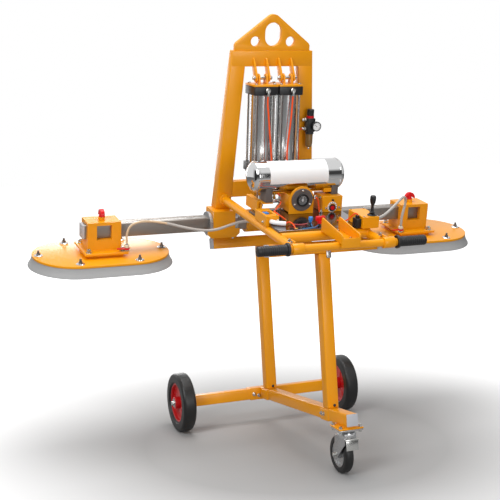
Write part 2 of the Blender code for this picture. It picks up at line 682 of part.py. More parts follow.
def build_crossbar(tilt):
    """Square tube with round journals and collars, and the yoke that the cylinders turn."""
    journal_from = HOUSING_X - HOUSING_TOP[0] / 2 - RUN
    journal_to = HOUSING_X + HOUSING_TOP[0] / 2 + RUN
    bar = square_tube(tilt, BAR, BAR_WALL, 2 * BAR_HALF_LENGTH, (0, 0, 0), ALONG_X)
    for side in (-1, 1):
        near, far = sorted((side * journal_from, side * journal_to))
        cut(bar, block(tilt, (near, -BAR, -BAR), (far, BAR, BAR)))
        join(bar, rod(tilt, (near - 0.004, 0, 0), (far + 0.004, 0, 0), JOURNAL_RADIUS, sides=28))
        for face, step in ((near, -COLLAR_THICKNESS), (far, COLLAR_THICKNESS)):
            join(bar, rod(tilt, (face, 0, 0), (face + step, 0, 0), COLLAR_RADIUS, sides=28))
    cut(bar, rod(tilt, (-BAR_HALF_LENGTH, 0, 0), (BAR_HALF_LENGTH, 0, 0), BAR_BORE))
    finish(bar, "crossbar", "galvanised steel")

    yoke = rod(tilt, (-YOKE_HALF_LENGTH, 0, 0), (YOKE_HALF_LENGTH, 0, 0), YOKE_RADIUS, sides=28)
    pin_y, pin_z = crank_pin()
    for side in (-1, 1):
        outline = strap((0, 0), YOKE_RADIUS - 0.012, (pin_y, pin_z - BAR_HEIGHT), CRANK_EYE)
        join(yoke, sheet(tilt, [outline], CRANK_SHEET, (side * CYLINDER_X, 0, 0), SIDE_VIEW))
    reach = BAR / 2 + SEAT
    square = block(tilt, (-2 * YOKE_HALF_LENGTH, -reach, -reach), (2 * YOKE_HALF_LENGTH, reach, reach))
    finish(cut(yoke, square), "tilt_yoke", "orange paint")


def build_cylinder(name, swing, stroke_holder, reach):
    """Air cylinder hung from its pin: caps with tie rods and lugs, barrel, and piston rod."""
    half = CYLINDER_CAP / 2
    head_low = -CAP_DROP - CAP_HEIGHT
    base_top = head_low - BARREL_LENGTH
    base_low = base_top - CAP_HEIGHT
    ends = block(swing, (-half, -half, head_low), (half, half, -CAP_DROP), 0.003)
    join(ends, block(swing, (-half, -half, base_low), (half, half, base_top), 0.003))
    for x in (-TIE_ROD_PITCH, TIE_ROD_PITCH):
        for y in (-TIE_ROD_PITCH, TIE_ROD_PITCH):
            join(ends, rod(swing, (x, y, base_top - 0.005), (x, y, head_low + 0.005),
                           TIE_ROD_RADIUS, sides=8))
    join(ends, block(swing, (-half, -half, -CAP_DROP - 0.001), (half, half, -CAP_DROP + HEAD_PLATE)))
    for offset in (-HEAD_LUG_OFFSET, HEAD_LUG_OFFSET):
        outline = strap((0, 0), LUG_RADIUS, (0, -CAP_DROP + 0.006), LUG_RADIUS + 0.004)
        hole = circle((0, 0), PIN_RADIUS + RUN)
        join(ends, sheet(swing, [outline, hole], LUG_THICKNESS, (offset, 0, 0), SIDE_VIEW))
    cut(ends, rod(swing, (0, 0, base_top + 0.010), (0, 0, base_low - 0.010), ROD_RADIUS + RUN))
    finish(ends, f"{name}_cylinder_caps", "black plastic")

    inner = BARREL_RADIUS - BARREL_WALL
    top, low = head_low - SEAT, base_top + SEAT
    profile = [(inner, top), (BARREL_RADIUS, top), (BARREL_RADIUS, low), (inner, low)]
    finish(turned(swing, profile, (0, 0, 0), ring=True),
           f"{name}_cylinder_barrel", "aluminium")

    eye = -reach
    piston_top = head_low - 0.006
    piston = rod(stroke_holder, (0, 0, piston_top), (0, 0, piston_top - PISTON_HEIGHT),
                 inner - RUN, sides=28)
    root = eye + FORK_SLOT
    join(piston, rod(stroke_holder, (0, 0, piston_top - 0.005), (0, 0, root + 0.010), ROD_RADIUS))
    gap = CRANK_SHEET / 2 + RUN
    cheek_out = gap + FORK_CHEEK
    join(piston, block(stroke_holder, (-cheek_out, -0.014, root), (cheek_out, 0.014, root + 0.020)))
    for side in (-1, 1):
        outline = strap((0, eye), CRANK_EYE - 0.004, (0, root + 0.005), 0.014)
        join(piston, sheet(stroke_holder, [outline], FORK_CHEEK,
                           (side * (gap + FORK_CHEEK / 2), 0, 0), SIDE_VIEW))
        join(piston, rod(stroke_holder, (side * (cheek_out - 0.002), 0, eye),
                         (side * (cheek_out + 0.006), 0, eye), PIN_RADIUS, sides=16))
    finish(piston, f"{name}_cylinder_rod", "polished steel")


def build_pad(name, side, pad, knob, lever):
    """Slide on the crossbar with its clamp knob, pad plate, rubber lip, hose port and lever."""
    width, depth = SLIDE_BOX
    flange_x, flange_y, flange_z = SLIDE_FLANGE
    spacer_x, spacer_y, spacer_z = SLIDE_SPACER
    low = SEAT
    flange_top = low + spacer_z + flange_z
    body = block(pad, (-width / 2, -depth / 2, flange_top - 0.002), (width / 2, depth / 2,
                                                                   SLIDE_BOX_TOP), 0.003)
    join(body, block(pad, (-flange_x / 2, -flange_y / 2, low + spacer_z),
                     (flange_x / 2, flange_y / 2, flange_top)))
    join(body, block(pad, (-spacer_x / 2, -spacer_y / 2, low),
                     (spacer_x / 2, spacer_y / 2, low + spacer_z + 0.001)))
    boss_radius, boss_height = KNOB_BOSS
    join(body, rod(pad, (0, 0, SLIDE_BOX_TOP - 0.004), (0, 0, SLIDE_BOX_TOP + boss_height),
                   boss_radius, sides=16))
    port = (-side * PORT_X, PORT_Y)
    join(body, rod(pad, (*port, flange_top - 0.002), (*port, flange_top + PORT_HEIGHT),
                   PORT_RADIUS, sides=16))
    reach = BAR / 2 + RUN
    tunnel = block(pad, (-width, -reach, BAR_HEIGHT - reach), (width, reach, BAR_HEIGHT + reach))
    window_x, window_z = SLIDE_WINDOW
    window = block(pad, (-window_x / 2, -depth, BAR_HEIGHT - window_z / 2),
                   (window_x / 2, 0, BAR_HEIGHT + window_z / 2))
    finish(cut(body, tunnel, window), f"{name}_slide", "orange paint")

    stem = 0.006
    top = SLIDE_BOX_TOP + boss_height + SEAT
    grip = rod(knob, (0, 0, top), (0, 0, top + 0.010), 0.012, stem, sides=16)
    join(grip, rod(knob, (0, 0, top + 0.008), (0, 0, top + KNOB_ARCH + 0.004), stem, sides=16))
    back = (KNOB_HEIGHT - KNOB_SHOULDER) / (KNOB_SPAN / 2)
    outline = ([(x, top + KNOB_SHOULDER + z * back) for x, z in arc((0, 0), KNOB_SPAN / 2, 0, 180, 12)]
               + [(-KNOB_SPAN / 2, top + KNOB_TIP), (-KNOB_SPAN / 3, top + KNOB_TIP)]
               + arc((0, top + KNOB_ARCH - KNOB_SPAN / 4), KNOB_SPAN / 4, 150, 30, 4)
               + [(KNOB_SPAN / 3, top + KNOB_TIP), (KNOB_SPAN / 2, top + KNOB_TIP)])
    wing = sheet(knob, [outline], KNOB_WIDTH, (0, 0, 0), ALONG_FRONT)
    finish(join(grip, wing), f"{name}_clamp_knob", "red plastic")

    plate = sheet(pad, [stadium(PAD_HALF_LENGTH, PAD_RADIUS)], PAD_SHEET, (0, 0, -PAD_SHEET / 2))
    finish(plate, f"{name}_pad_plate", "orange paint")
    finish(build_seal(pad), f"{name}_pad_seal", "grey rubber")

    arm_z = flange_top + 0.010
    ring = rod(lever, (0, 0, arm_z), (0, 0, arm_z + 0.006), PORT_RADIUS + 0.005, sides=16)
    join(ring, block(lever, (-LEVER_LENGTH, -0.005, arm_z + 0.001), (-0.010, 0.005, arm_z + 0.005)))
    hole = rod(lever, (0, 0, arm_z - 0.010), (0, 0, arm_z + 0.020), PORT_RADIUS + RUN, sides=16)
    finish(cut(ring, hole), f"{name}_shutoff_lever", "red plastic")


def build_seal(pad):
    """Rubber lip swept around the pad, flaring outwards to its lower edge."""
    top, low = -PAD_SHEET - SEAT, -PAD_SHEET - SEAT - SEAL_DEPTH
    section = bpy.data.curves.new("seal section", "CURVE")
    section.dimensions = "2D"
    add_spline(section, [(0.0, top), (SEAL_WIDTH, top), (SEAL_WIDTH - 0.006, low + 0.012),
                         (0.004, low), (-SEAL_FLARE, low), (-SEAL_FLARE * 0.5, low + 0.016)])
    profile = bpy.data.objects.new("seal section", section)
    profile.hide_render = True
    profile.display_type = "WIRE"
    CUTTERS.objects.link(profile)
    path = bpy.data.curves.new("seal path", "CURVE")
    path.dimensions = "2D"
    path.fill_mode = "NONE"
    path.bevel_mode = "OBJECT"
    path.bevel_object = profile
    add_spline(path, stadium(PAD_HALF_LENGTH, PAD_RADIUS))
    return as_mesh(place(path, pad))


def build_handle_frame(lifter):
    """Side tubes from the mast to the handle bar, cross tube, deck and the bar with its grips."""
    start = MAST_FRONT - SEAT
    end = HANDLE_Y + SLEEVE_RADIUS + SEAT
    frame = rod(lifter, (-SIDE_TUBE_X, FRONT_TUBE_Y, FRONT_TUBE_Z),
                (SIDE_TUBE_X, FRONT_TUBE_Y, FRONT_TUBE_Z), FRONT_TUBE_RADIUS)
    for x in (-SIDE_TUBE_X, SIDE_TUBE_X):
        join(frame, rod(lifter, (x, start, SIDE_TUBE_Z), (x, end, SIDE_TUBE_Z), SIDE_TUBE_RADIUS))
        join(frame, rod(lifter, (x, start, SIDE_TUBE_Z), (x, start - BOSS_LENGTH, SIDE_TUBE_Z),
                        BOSS_RADIUS))
    finish(frame, "handle_frame", "orange paint")

    bar = rod(lifter, (-GRIP_TO + 0.008, HANDLE_Y, HANDLE_Z), (GRIP_TO - 0.008, HANDLE_Y, HANDLE_Z),
              HANDLE_RADIUS)
    for side in (-1, 1):
        join(bar, rod(lifter, (side * SLEEVE_FROM, HANDLE_Y, HANDLE_Z),
                      (side * SLEEVE_TO, HANDLE_Y, HANDLE_Z), SLEEVE_RADIUS))
    finish(bar, "handle_bar", "orange paint")
    bore = HANDLE_RADIUS + SEAT
    inner_end, outer_end = GRIP_FROM, GRIP_TO
    profile = [(0, outer_end), (GRIP_RADIUS - 0.004, outer_end), (GRIP_RADIUS, outer_end - 0.004),
               (GRIP_RADIUS, inner_end + GRIP_FLANGE), (GRIP_FLANGE_RADIUS, inner_end + GRIP_FLANGE),
               (GRIP_FLANGE_RADIUS, inner_end), (bore, inner_end),
               (bore, outer_end - 0.0077), (0, outer_end - 0.0077)]
    for name, turn in (("left", (0, -math.pi / 2, 0)), ("right", ALONG_X)):
        grip = turned(lifter, profile, (0, HANDLE_Y, HANDLE_Z), turn, 20)
        finish(grip, f"{name}_grip", "black plastic")

    deck = block(lifter, (-SIDE_TUBE_X, DECK_FRONT, DECK_LOW), (SIDE_TUBE_X, DECK_BACK, DECK_TOP))
    join(deck, rod(lifter, (-HOSE_END_X, HOSE_END_Y, DECK_LOW - DECK_PORT_LENGTH),
                   (-HOSE_END_X, HOSE_END_Y, DECK_LOW + 0.002), PORT_RADIUS, sides=16))
    width, depth, _ = LEFT_BOX
    cut(deck, block(lifter, (-2 * SIDE_TUBE_X, LEFT_BOX_Y - depth / 2 - LEFT_BOX_CLEARANCE, 0),
                    (LEFT_BOX_X + width / 2 + LEFT_BOX_CLEARANCE, LEFT_BOX_Y + depth / 2 + LEFT_BOX_CLEARANCE,
                     2 * DECK_TOP)))
    for x, y in (KNOB_POSITION, VENT_POSITION):
        join(deck, rod(lifter, (x, y, DECK_TOP - 0.002), (x, y, DECK_TOP + VALVE_FOOT),
                       VALVE_FOOT_RADIUS, sides=16))
    finish(deck, "deck_plate", "dark steel")


def build_cradle(lifter):
    """Open cradle of bent sheet that stands on the handle bar and the front tube."""
    floor = HANDLE_Z + HANDLE_RADIUS + SEAT
    half, overlap = CRADLE_WIDTH / 2, CRADLE_SHEET / 2
    nose = CRADLE_FRONT + CRADLE_SHEET
    side_outline = [(CRADLE_BACK, floor), (CRADLE_BACK, floor + CRADLE_BACK_HEIGHT),
                    (CRADLE_FRONT, floor + CRADLE_FRONT_HEIGHT), (CRADLE_FRONT, floor - CRADLE_LIP),
                    (nose, floor - CRADLE_LIP), (nose, floor)]
    body = block(lifter, (CRADLE_X - half + overlap, CRADLE_FRONT + overlap, floor + 0.0002),
                 (CRADLE_X + half - overlap, CRADLE_BACK - overlap, floor + CRADLE_SHEET))
    for side in (-1, 1):
        x = CRADLE_X + side * (half - overlap)
        join(body, sheet(lifter, [side_outline], CRADLE_SHEET, (x, 0, 0), SIDE_VIEW))
    join(body, block(lifter, (CRADLE_X - half + overlap, CRADLE_FRONT + 0.0002, floor - CRADLE_LIP + 0.0002),
                     (CRADLE_X + half - overlap, nose - 0.0002, floor + CRADLE_NOSE)))
    finish(body, "tool_cradle", "orange paint")


def dome(radius, depth, start, end, count):
    """(radius, height) points of a domed end, from the pole at 0 degrees to the rim at 90."""
    points = []
    for index in range(count + 1):
        angle = math.radians(start + (end - start) * index / count)
        points.append((radius * math.sin(angle), depth * math.cos(angle)))
    return points


def build_tank(lifter):
    """Polished vacuum tank, with an open port in each domed end."""
    outside, inside = [], []
    for shell, radius, depth in ((outside, TANK_RADIUS, TANK_DOME),
                                 (inside, TANK_RADIUS - TANK_WALL, TANK_DOME - TANK_WALL)):
        port = math.degrees(math.asin(TANK_PORT / radius))
        half = [(r, TANK_STRAIGHT + z) for r, z in dome(radius, depth, port, 90, 4)]
        shell.extend(half + [(r, -z) for r, z in reversed(half)])
    profile = outside + list(reversed(inside))
    finish(turned(lifter, profile, (0, TANK_Y, TANK_Z), ALONG_X, TANK_STEPS, ring=True),
           "vacuum_tank", "polished steel")

    stand = block(lifter, (POST_X[0], TANK_Y - STRAP_WIDTH / 2, STRAP_LOW),
                  (POST_X[1], TANK_Y + STRAP_WIDTH / 2, STRAP_LOW + STRAP))
    for middle, foot in zip(POST_X, (BRACKET_TOP, CONTROL_BOX_TOP)):
        join(stand, block(lifter, (middle - POST_WIDTH / 2, POST_FRONT, foot + SEAT),
                          (middle + POST_WIDTH / 2, POST_BACK, TANK_Z)))
    reach, radius = 2 * TANK_STRAIGHT, TANK_RADIUS + SEAT
    saddle = [(0, reach), (radius, reach), (radius, -reach), (0, -reach)]
    cut(stand, turned(lifter, saddle, (0, TANK_Y, TANK_Z), ALONG_X, TANK_STEPS))
    finish(stand, "tank_stand", "black plastic")


def build_gauge(lifter, needle):
    """Vacuum gauge on the round-topped front of the box under the tank."""
    half, plate = GAUGE_BRACKET_HALF, GAUGE_BRACKET_SHEET
    low = DECK_TOP + SEAT
    front = [(-half, low), (half, low), *arc((0, GAUGE_Z), half, 0, 180, 20)]
    body = sheet(lifter, [front], plate, (0, GAUGE_Y + plate / 2, 0), ALONG_FRONT)
    join(body, block(lifter, (-half + 0.004, GAUGE_Y + plate / 2, low + 0.0005),
                     (half - 0.004, DECK_BACK, STRAP_LOW - SEAT)))
    finish(body, "gauge_housing", "orange paint")

    face = GAUGE_THICKNESS + 0.002
    rim = GAUGE_THICKNESS + BEZEL_DEPTH
    profile = [(0, face + 0.005), (NEEDLE_PIN, face + 0.005), (NEEDLE_PIN, face),
               (DIAL_RADIUS, face), (DIAL_RADIUS, rim), (BEZEL_RADIUS, rim),
               (BEZEL_RADIUS, GAUGE_THICKNESS), (GAUGE_RADIUS - 0.001, GAUGE_THICKNESS),
               (GAUGE_RADIUS, GAUGE_THICKNESS - 0.001), (GAUGE_RADIUS, 0), (0, 0)]
    finish(turned(lifter, profile, (0, GAUGE_Y - SEAT, GAUGE_Z), ALONG_FRONT),
           "vacuum_gauge", "black plastic")

    low = face + 0.0015
    hand = rod(needle, (0, 0, low), (0, 0, low + 0.0015), 0.004, sides=16)
    join(hand, block(needle, (-0.0008, 0, low), (0.0008, NEEDLE_LENGTH, low + 0.0012)))
    cut(hand, rod(needle, (0, 0, low - 0.005), (0, 0, low + 0.005), NEEDLE_PIN + SEAT, sides=16))
    finish(hand, "gauge_needle", "red plastic")


def build_controls(lifter, button, stick, knob, vent):
    """Boxes, stop button, joystick and small valves that stand on the deck."""
    low = DECK_TOP + SEAT
    width, depth, height = CONTROL_BOX
    box = block(lifter, (CONTROL_BOX_X - width / 2, GAUGE_Y, low),
                (CONTROL_BOX_X + width / 2, GAUGE_Y + depth, low + height), 0.002)
    cut(box, rod(lifter, (CONTROL_BOX_X, GAUGE_Y - 0.010, BUTTON_Z),
                 (CONTROL_BOX_X, GAUGE_Y + BUTTON_TRAVEL + 0.006, BUTTON_Z), BUTTON_RADIUS + RUN))
    finish(box, "control_box", "orange paint")
    cap = rod(button, (0, 0, -0.004), (0, 0, BUTTON_LENGTH - 0.004), BUTTON_RADIUS, sides=16)
    finish(cap, "stop_button", "red plastic")

    width, depth, height = LEFT_BOX
    foot = SIDE_TUBE_Z + SIDE_TUBE_RADIUS + SEAT
    top = foot + height
    right, front = LEFT_BOX_X + width / 2, LEFT_BOX_Y - depth / 2
    box = block(lifter, (LEFT_BOX_X - width / 2, front, foot), (right, LEFT_BOX_Y + depth / 2, top), 0.002)
    inner = SIDE_TUBE_RADIUS + LEFT_BOX_CLEARANCE - SIDE_TUBE_X
    join(box, block(lifter, (inner, front + 0.0005, foot - LEFT_BOX_DROP),
                    (right - 0.0005, LEFT_BOX_Y + depth / 4, foot + 0.003)))
    join(box, block(lifter, (inner + 0.001, front + 0.001, foot - LEFT_BOX_DROP + 0.0005),
                    (right + LEFT_BOX_TOE, LEFT_BOX_Y, DECK_LOW - RUN)))
    pocket_x, pocket_y, pocket_z = LEFT_BOX_POCKET
    cut(box, block(lifter, (LEFT_BOX_X - pocket_x / 2, LEFT_BOX_Y - pocket_y / 2, top - pocket_z),
                   (LEFT_BOX_X + pocket_x / 2, LEFT_BOX_Y + pocket_y / 2, top + pocket_z)))
    finish(box, "left_valve_box", "orange paint")

    width, depth, height = RIGHT_BOX
    top = low + height
    box = block(lifter, (RIGHT_BOX_X - width / 2, RIGHT_BOX_Y - depth / 2, low),
                (RIGHT_BOX_X + width / 2, RIGHT_BOX_Y + depth / 2, top), 0.002)
    cut(box, rod(lifter, (STICK_X, STICK_Y, top - STICK_BALL - RUN), (STICK_X, STICK_Y, top + 0.010),
                 STICK_BALL + RUN, sides=16))
    finish(box, "right_valve_box", "orange paint")
    tip = STICK_HEIGHT
    handle = [(0, tip), (0.009, tip - 0.001), (0.012, tip - 0.006), (0.012, tip - 0.022),
              (0.007, tip - 0.034), (0.005, tip - 0.044), (0.004, 0.010)]
    ball = [(STICK_BALL * math.cos(math.radians(angle)), STICK_BALL * math.sin(math.radians(angle)))
            for angle in range(45, -90, -30)]
    finish(turned(stick, handle + ball + [(0, -STICK_BALL)], (0, 0, 0), steps=16),
           "joystick_lever", "black plastic")

    finish(turned(knob, [(0, 0.021), (0.006, 0.021), (0.008, 0.017), (0.008, 0.008), (0.006, 0.004),
                         (0.006, 0), (0, 0)], (0, 0, 0), steps=16), "flow_knob", "blue plastic")
    tap = rod(vent, (0, 0, 0), (0, 0, 0.012), 0.0095, sides=16)
    join(tap, block(vent, (-0.0165, -0.007, 0.008), (0.0165, 0.007, 0.038), 0.005))
    finish(tap, "vent_valve_handle", "red plastic")

    width, depth, height = SIDE_BRACKET
    x, y = SIDE_BRACKET_X, SIDE_BRACKET_Y
    bracket = block(lifter, (x - width / 2, y - depth / 2, low), (x + width / 2, y + depth / 2, low + height))
    inner, thickness = BRACKET_FLANGE
    join(bracket, block(lifter, (x, POST_FRONT - 0.004, low + height - thickness),
                        (inner, POST_BACK + 0.004, low + height - 0.0001)))
    slot = block(lifter, (x - 0.003, y - depth, low + height * 0.35),
                 (x + 0.003, y - depth / 2 + 0.010, low + height * 0.80))
    finish(cut(bracket, slot), "side_bracket", "orange paint")


def build_regulator(lifter, knob):
    """Air filter and pressure regulator with its bowl, on the front of the right upright."""
    half = REGULATOR_BODY / 2
    x, y = REGULATOR_X, REGULATOR_Y
    body = block(lifter, (x - half, y - half, REGULATOR_LOW), (x + half, y + half, REGULATOR_HIGH), 0.003)
    join(body, block(lifter, (x - 0.010, y, REGULATOR_LOW + 0.020),
                     (x + 0.010, MAST_FRONT - SEAT, REGULATOR_HIGH - 0.010)))
    bowl_radius, bowl_height = REGULATOR_BOWL
    bowl = rod(lifter, (x, y, REGULATOR_LOW + 0.002), (x, y, REGULATOR_LOW - bowl_height), bowl_radius,
               bowl_radius * 0.75)
    join(body, bowl)
    offset, radius, thickness = SMALL_GAUGE
    join(body, rod(lifter, (x + offset, y - half + 0.002, SMALL_GAUGE_Z),
                   (x + offset, y - half - thickness, SMALL_GAUGE_Z), radius))
    join(body, rod(lifter, (x, y, REGULATOR_HIGH - 0.002), (x, y, REGULATOR_HIGH + 0.010), 0.011, sides=16))
    finish(body, "regulator_body", "black plastic")
    radius, height = REGULATOR_KNOB
    finish(turned(knob, [(0, height), (radius - 0.003, height), (radius, height - 0.003), (radius, 0),
                         (0, 0)], (0, 0, 0), steps=24), "regulator_knob", "black plastic")


def smooth_route(points, spacing):
    """Points a spacing apart on a smooth curve, with the first and last stretch kept straight."""
    points = [Vector(point) for point in points]
    fine = []
    for before, start, end, after in zip(points, points[1:], points[2:], points[3:]):
        for index in range(20):
            t = index / 20
            fine.append(0.5 * (2 * start + (end - before) * t
                               + (2 * before - 5 * start + 4 * end - after) * t ** 2
                               + (3 * start - before - 3 * end + after) * t ** 3))
    fine.append(points[-2])
    length = sum((end - start).length for start, end in zip(fine, fine[1:]))
    count = round(length / spacing)
    route, travelled = [points[0], points[1]], 0.0
    for start, end in zip(fine, fine[1:]):
        step = (end - start).length
        target = (len(route) - 1) * length / count
        if travelled + step >= target and len(route) <= count:
            route.append(start.lerp(end, (target - travelled) / step))
        travelled += step
    return [*route, points[-2], points[-1]]


def build_hose(name, parent, points):
    """A vacuum hose along a route in its parent's frame."""
    curve = bpy.data.curves.new(name, "CURVE")
    curve.dimensions = "3D"
    curve.bevel_depth = HOSE_RADIUS
    curve.bevel_resolution = 2
    curve.use_fill_caps = True
    route = smooth_route(points, 5 * HOSE_RADIUS)
    spline = curve.splines.new("POLY")
    spline.points.add(len(route) - 1)
    for point, place_on_route in zip(spline.points, route):
        point.co = (*place_on_route, 1.0)
    finish(place(curve, parent), name, "clear hose")


def build_hoses(lifter):
    """The two hoses from the pads' ports to the deck and to the right valve box."""
    port_x = PAD_X - PORT_X
    port_z = SEAT + SLIDE_SPACER[2] + SLIDE_FLANGE[2] + PORT_HEIGHT + SEAT
    deck_port = DECK_LOW - DECK_PORT_LENGTH - SEAT
    build_hose("left_hose", lifter, [
        (-port_x, PORT_Y, port_z), (-port_x, PORT_Y, 0.095), (-0.642, -0.090, 0.130),
        (-0.605, -0.090, 0.147), (-0.550, -0.088, 0.146), (-0.480, -0.085, 0.132),
        (-0.410, -0.085, 0.112), (-0.350, -0.088, 0.098), (-0.300, -0.092, 0.092),
        (-0.250, -0.100, 0.098), (-0.200, -0.115, 0.118), (-0.160, -0.150, 0.140),
        (-0.135, -0.205, 0.152), (-0.123, -0.265, 0.162), (-HOSE_END_X, HOSE_END_Y, 0.182),
        (-HOSE_END_X, HOSE_END_Y, deck_port)])
    box_side = RIGHT_BOX_X + RIGHT_BOX[0] / 2 + SEAT
    build_hose("right_hose", lifter, [
        (box_side, -0.590, 0.252), (0.250, -0.590, 0.252), (0.300, -0.545, 0.248),
        (0.380, -0.450, 0.238), (0.470, -0.335, 0.225), (0.560, -0.220, 0.214),
        (0.625, -0.140, 0.205), (0.662, -0.098, 0.185), (0.668, -0.088, 0.150),
        (0.660, PORT_Y, 0.115), (port_x, PORT_Y, 0.090), (port_x, PORT_Y, port_z)])


def floor_reach():
    """How far the base beam's nose reaches forward and a pad's lip reaches back, on the floor."""
    nose_z = BASE_BEAM_RISE - TUBE / 2
    nose = -BASE_BEAM_END * math.cos(TROLLEY_LEAN) + nose_z * math.sin(TROLLEY_LEAN)
    lip_y, lip_z = PAD_RADIUS + SEAL_FLARE, -PAD_SHEET - SEAT - SEAL_DEPTH
    lip = LIFTER_Y + lip_y * math.cos(LIFTER_LEAN) - lip_z * math.sin(LIFTER_LEAN)
    return nose, lip


def main():
    """Build every piece of the trolley and of the lifter that rests on it."""
    nose, lip = floor_reach()
    floor = make_empty("floor_under_axle", (0, -(nose + lip) / 2, 0))
    trolley = make_empty("trolley_frame", (0, 0, WHEEL_RADIUS), (-TROLLEY_LEAN, 0, 0), floor)
    lifter = make_empty("lifter_frame", (0, LIFTER_Y, LIFTER_Z), (LIFTER_LEAN, 0, 0), floor)

    rear, front = build_trolley(trolley)
    build_rests(rear, front, lifter)
    for name, side in SIDES:
        build_wheel(name, make_empty(f"{name}_wheel_axis", (side * TRACK / 2, 0, 0), parent=trolley))
    swivel = make_empty("caster_swivel_axis", (0, CASTER_Y, 0), parent=floor)
    wheel = make_empty("caster_wheel_axis", (0, CASTER_TRAIL, CASTER_RADIUS), parent=swivel)
    hinge = make_empty("brake_pedal_axis", (0, -CROWN_FRONT - PEDAL_RADIUS - SEAT, CASTER_CROWN),
                       parent=swivel)
    build_caster(floor, swivel, wheel, hinge)

    build_mast(lifter)
    for name, side in SIDES:
        build_housing(f"{name}_pivot_housing", side, lifter)
    tilt = make_empty("tilt_axis", (0, 0, BAR_HEIGHT), parent=lifter)
    build_crossbar(tilt)
    pin_y, pin_z = CYLINDER_PIN
    crank_y, crank_z = crank_pin()
    reach = math.hypot(crank_y - pin_y, pin_z - crank_z)
    lean = math.atan2(crank_y - pin_y, pin_z - crank_z)
    for name, side in SIDES:
        swing = make_empty(f"{name}_cylinder_axis", (side * CYLINDER_X, pin_y, pin_z), (lean, 0, 0),
                           lifter)
        stroke = make_empty(f"{name}_stroke_axis", (0, 0, 0), parent=swing)
        build_cylinder(name, swing, stroke, reach)
        pad = make_empty(f"{name}_pad_axis", (side * PAD_X, 0, -BAR_HEIGHT), parent=tilt)
        turn = math.pi / 2 if side < 0 else 0.0
        knob = make_empty(f"{name}_knob_axis", (0, 0, 0), (0, 0, turn), pad)
        lever = make_empty(f"{name}_lever_axis", (-side * PORT_X, PORT_Y, 0), parent=pad)
        build_pad(name, side, pad, knob, lever)

    build_handle_frame(lifter)
    build_cradle(lifter)
    build_tank(lifter)
    build_gauge(lifter, make_empty("needle_axis", (0, GAUGE_Y - SEAT, GAUGE_Z), ALONG_FRONT, lifter))
    button = make_empty("button_axis", (CONTROL_BOX_X, GAUGE_Y, BUTTON_Z), ALONG_FRONT, lifter)
    box_top = DECK_TOP + SEAT + RIGHT_BOX[2]
    stick = make_empty("joystick_axis", (STICK_X, STICK_Y, box_top), parent=lifter)
    valve_foot = DECK_TOP + VALVE_FOOT + SEAT
    flow = make_empty("flow_knob_axis", (*KNOB_POSITION, valve_foot), parent=lifter)
    vent = make_empty("vent_axis", (*VENT_POSITION, valve_foot), parent=lifter)
    build_controls(lifter, button, stick, flow, vent)
    regulator = make_empty("regulator_axis", (REGULATOR_X, REGULATOR_Y, REGULATOR_HIGH + 0.010 + SEAT),
                           parent=lifter)
    build_regulator(lifter, regulator)
    build_hoses(lifter)


SIDES = (("left", -1), ("right", 1))
clear_scene()
PARTS = make_collection("stone vacuum lifter")
CUTTERS = make_collection("cutters", hidden=True)
FINISHES = make_materials()
main()
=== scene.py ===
"""Looks of the stone vacuum lifter that rests on its trolley.

Each sub-assembly is a class whose fields are its sizes in metres. It models its pieces in its own
frame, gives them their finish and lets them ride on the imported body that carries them.
"""
import logging
import math
from dataclasses import dataclass
from enum import Enum
from typing import Optional, Sequence

import bpy
from mathutils import Matrix, Vector

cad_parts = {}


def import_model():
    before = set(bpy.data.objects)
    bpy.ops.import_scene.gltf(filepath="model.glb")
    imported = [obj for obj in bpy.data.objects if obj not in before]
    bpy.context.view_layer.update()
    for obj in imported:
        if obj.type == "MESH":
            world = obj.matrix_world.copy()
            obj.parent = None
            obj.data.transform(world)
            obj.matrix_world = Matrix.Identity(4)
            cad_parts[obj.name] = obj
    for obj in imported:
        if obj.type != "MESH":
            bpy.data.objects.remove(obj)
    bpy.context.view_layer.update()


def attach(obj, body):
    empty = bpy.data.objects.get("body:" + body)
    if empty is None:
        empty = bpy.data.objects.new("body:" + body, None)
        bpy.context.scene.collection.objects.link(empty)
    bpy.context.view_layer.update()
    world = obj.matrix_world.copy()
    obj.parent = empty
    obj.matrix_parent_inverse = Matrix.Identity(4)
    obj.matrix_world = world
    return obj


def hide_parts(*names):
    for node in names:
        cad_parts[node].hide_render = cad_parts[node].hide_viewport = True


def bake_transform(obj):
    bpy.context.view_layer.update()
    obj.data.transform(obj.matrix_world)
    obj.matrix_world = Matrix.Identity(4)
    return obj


LOG = logging.getLogger("lifter")
Point = Sequence[float]
ROOT = "trolley_and_lifter_frame"
GAP = 0.0003                  # between pieces that rest on each other
WELD = 0.00001                # points nearer than this are one
SMOOTH_ANGLE = math.radians(35)         # edges flatter than this are shaded smooth
BEVEL_ANGLE = math.radians(40)          # edges sharper than this are rounded
HEX = 6                       # sides of a hexagon head
UP, TO_FRONT, ALONG_X = (0, 0, 1), (0, -1, 0), (1, 0, 0)

# Where the frames of the lifter, the trolley and the caster stand, as in the part
AXLE_Y = 0.3495765
BAR_HEIGHT = 0.098            # the tilt axis in the lifter's frame
LIFTER_TILT = math.radians(9.98)
TROLLEY_TILT = math.radians(6.48)
LIFTER = Matrix.Translation((0, AXLE_Y - 0.0134, 0.834)) @ Matrix.Rotation(LIFTER_TILT, 4, "X")
TROLLEY = Matrix.Translation((0, AXLE_Y, 0.130)) @ Matrix.Rotation(-TROLLEY_TILT, 4, "X")
CASTER = Matrix.Translation((0, AXLE_Y - 0.841, 0))
BAR_AXIS = LIFTER @ Matrix.Translation((0, 0, BAR_HEIGHT))

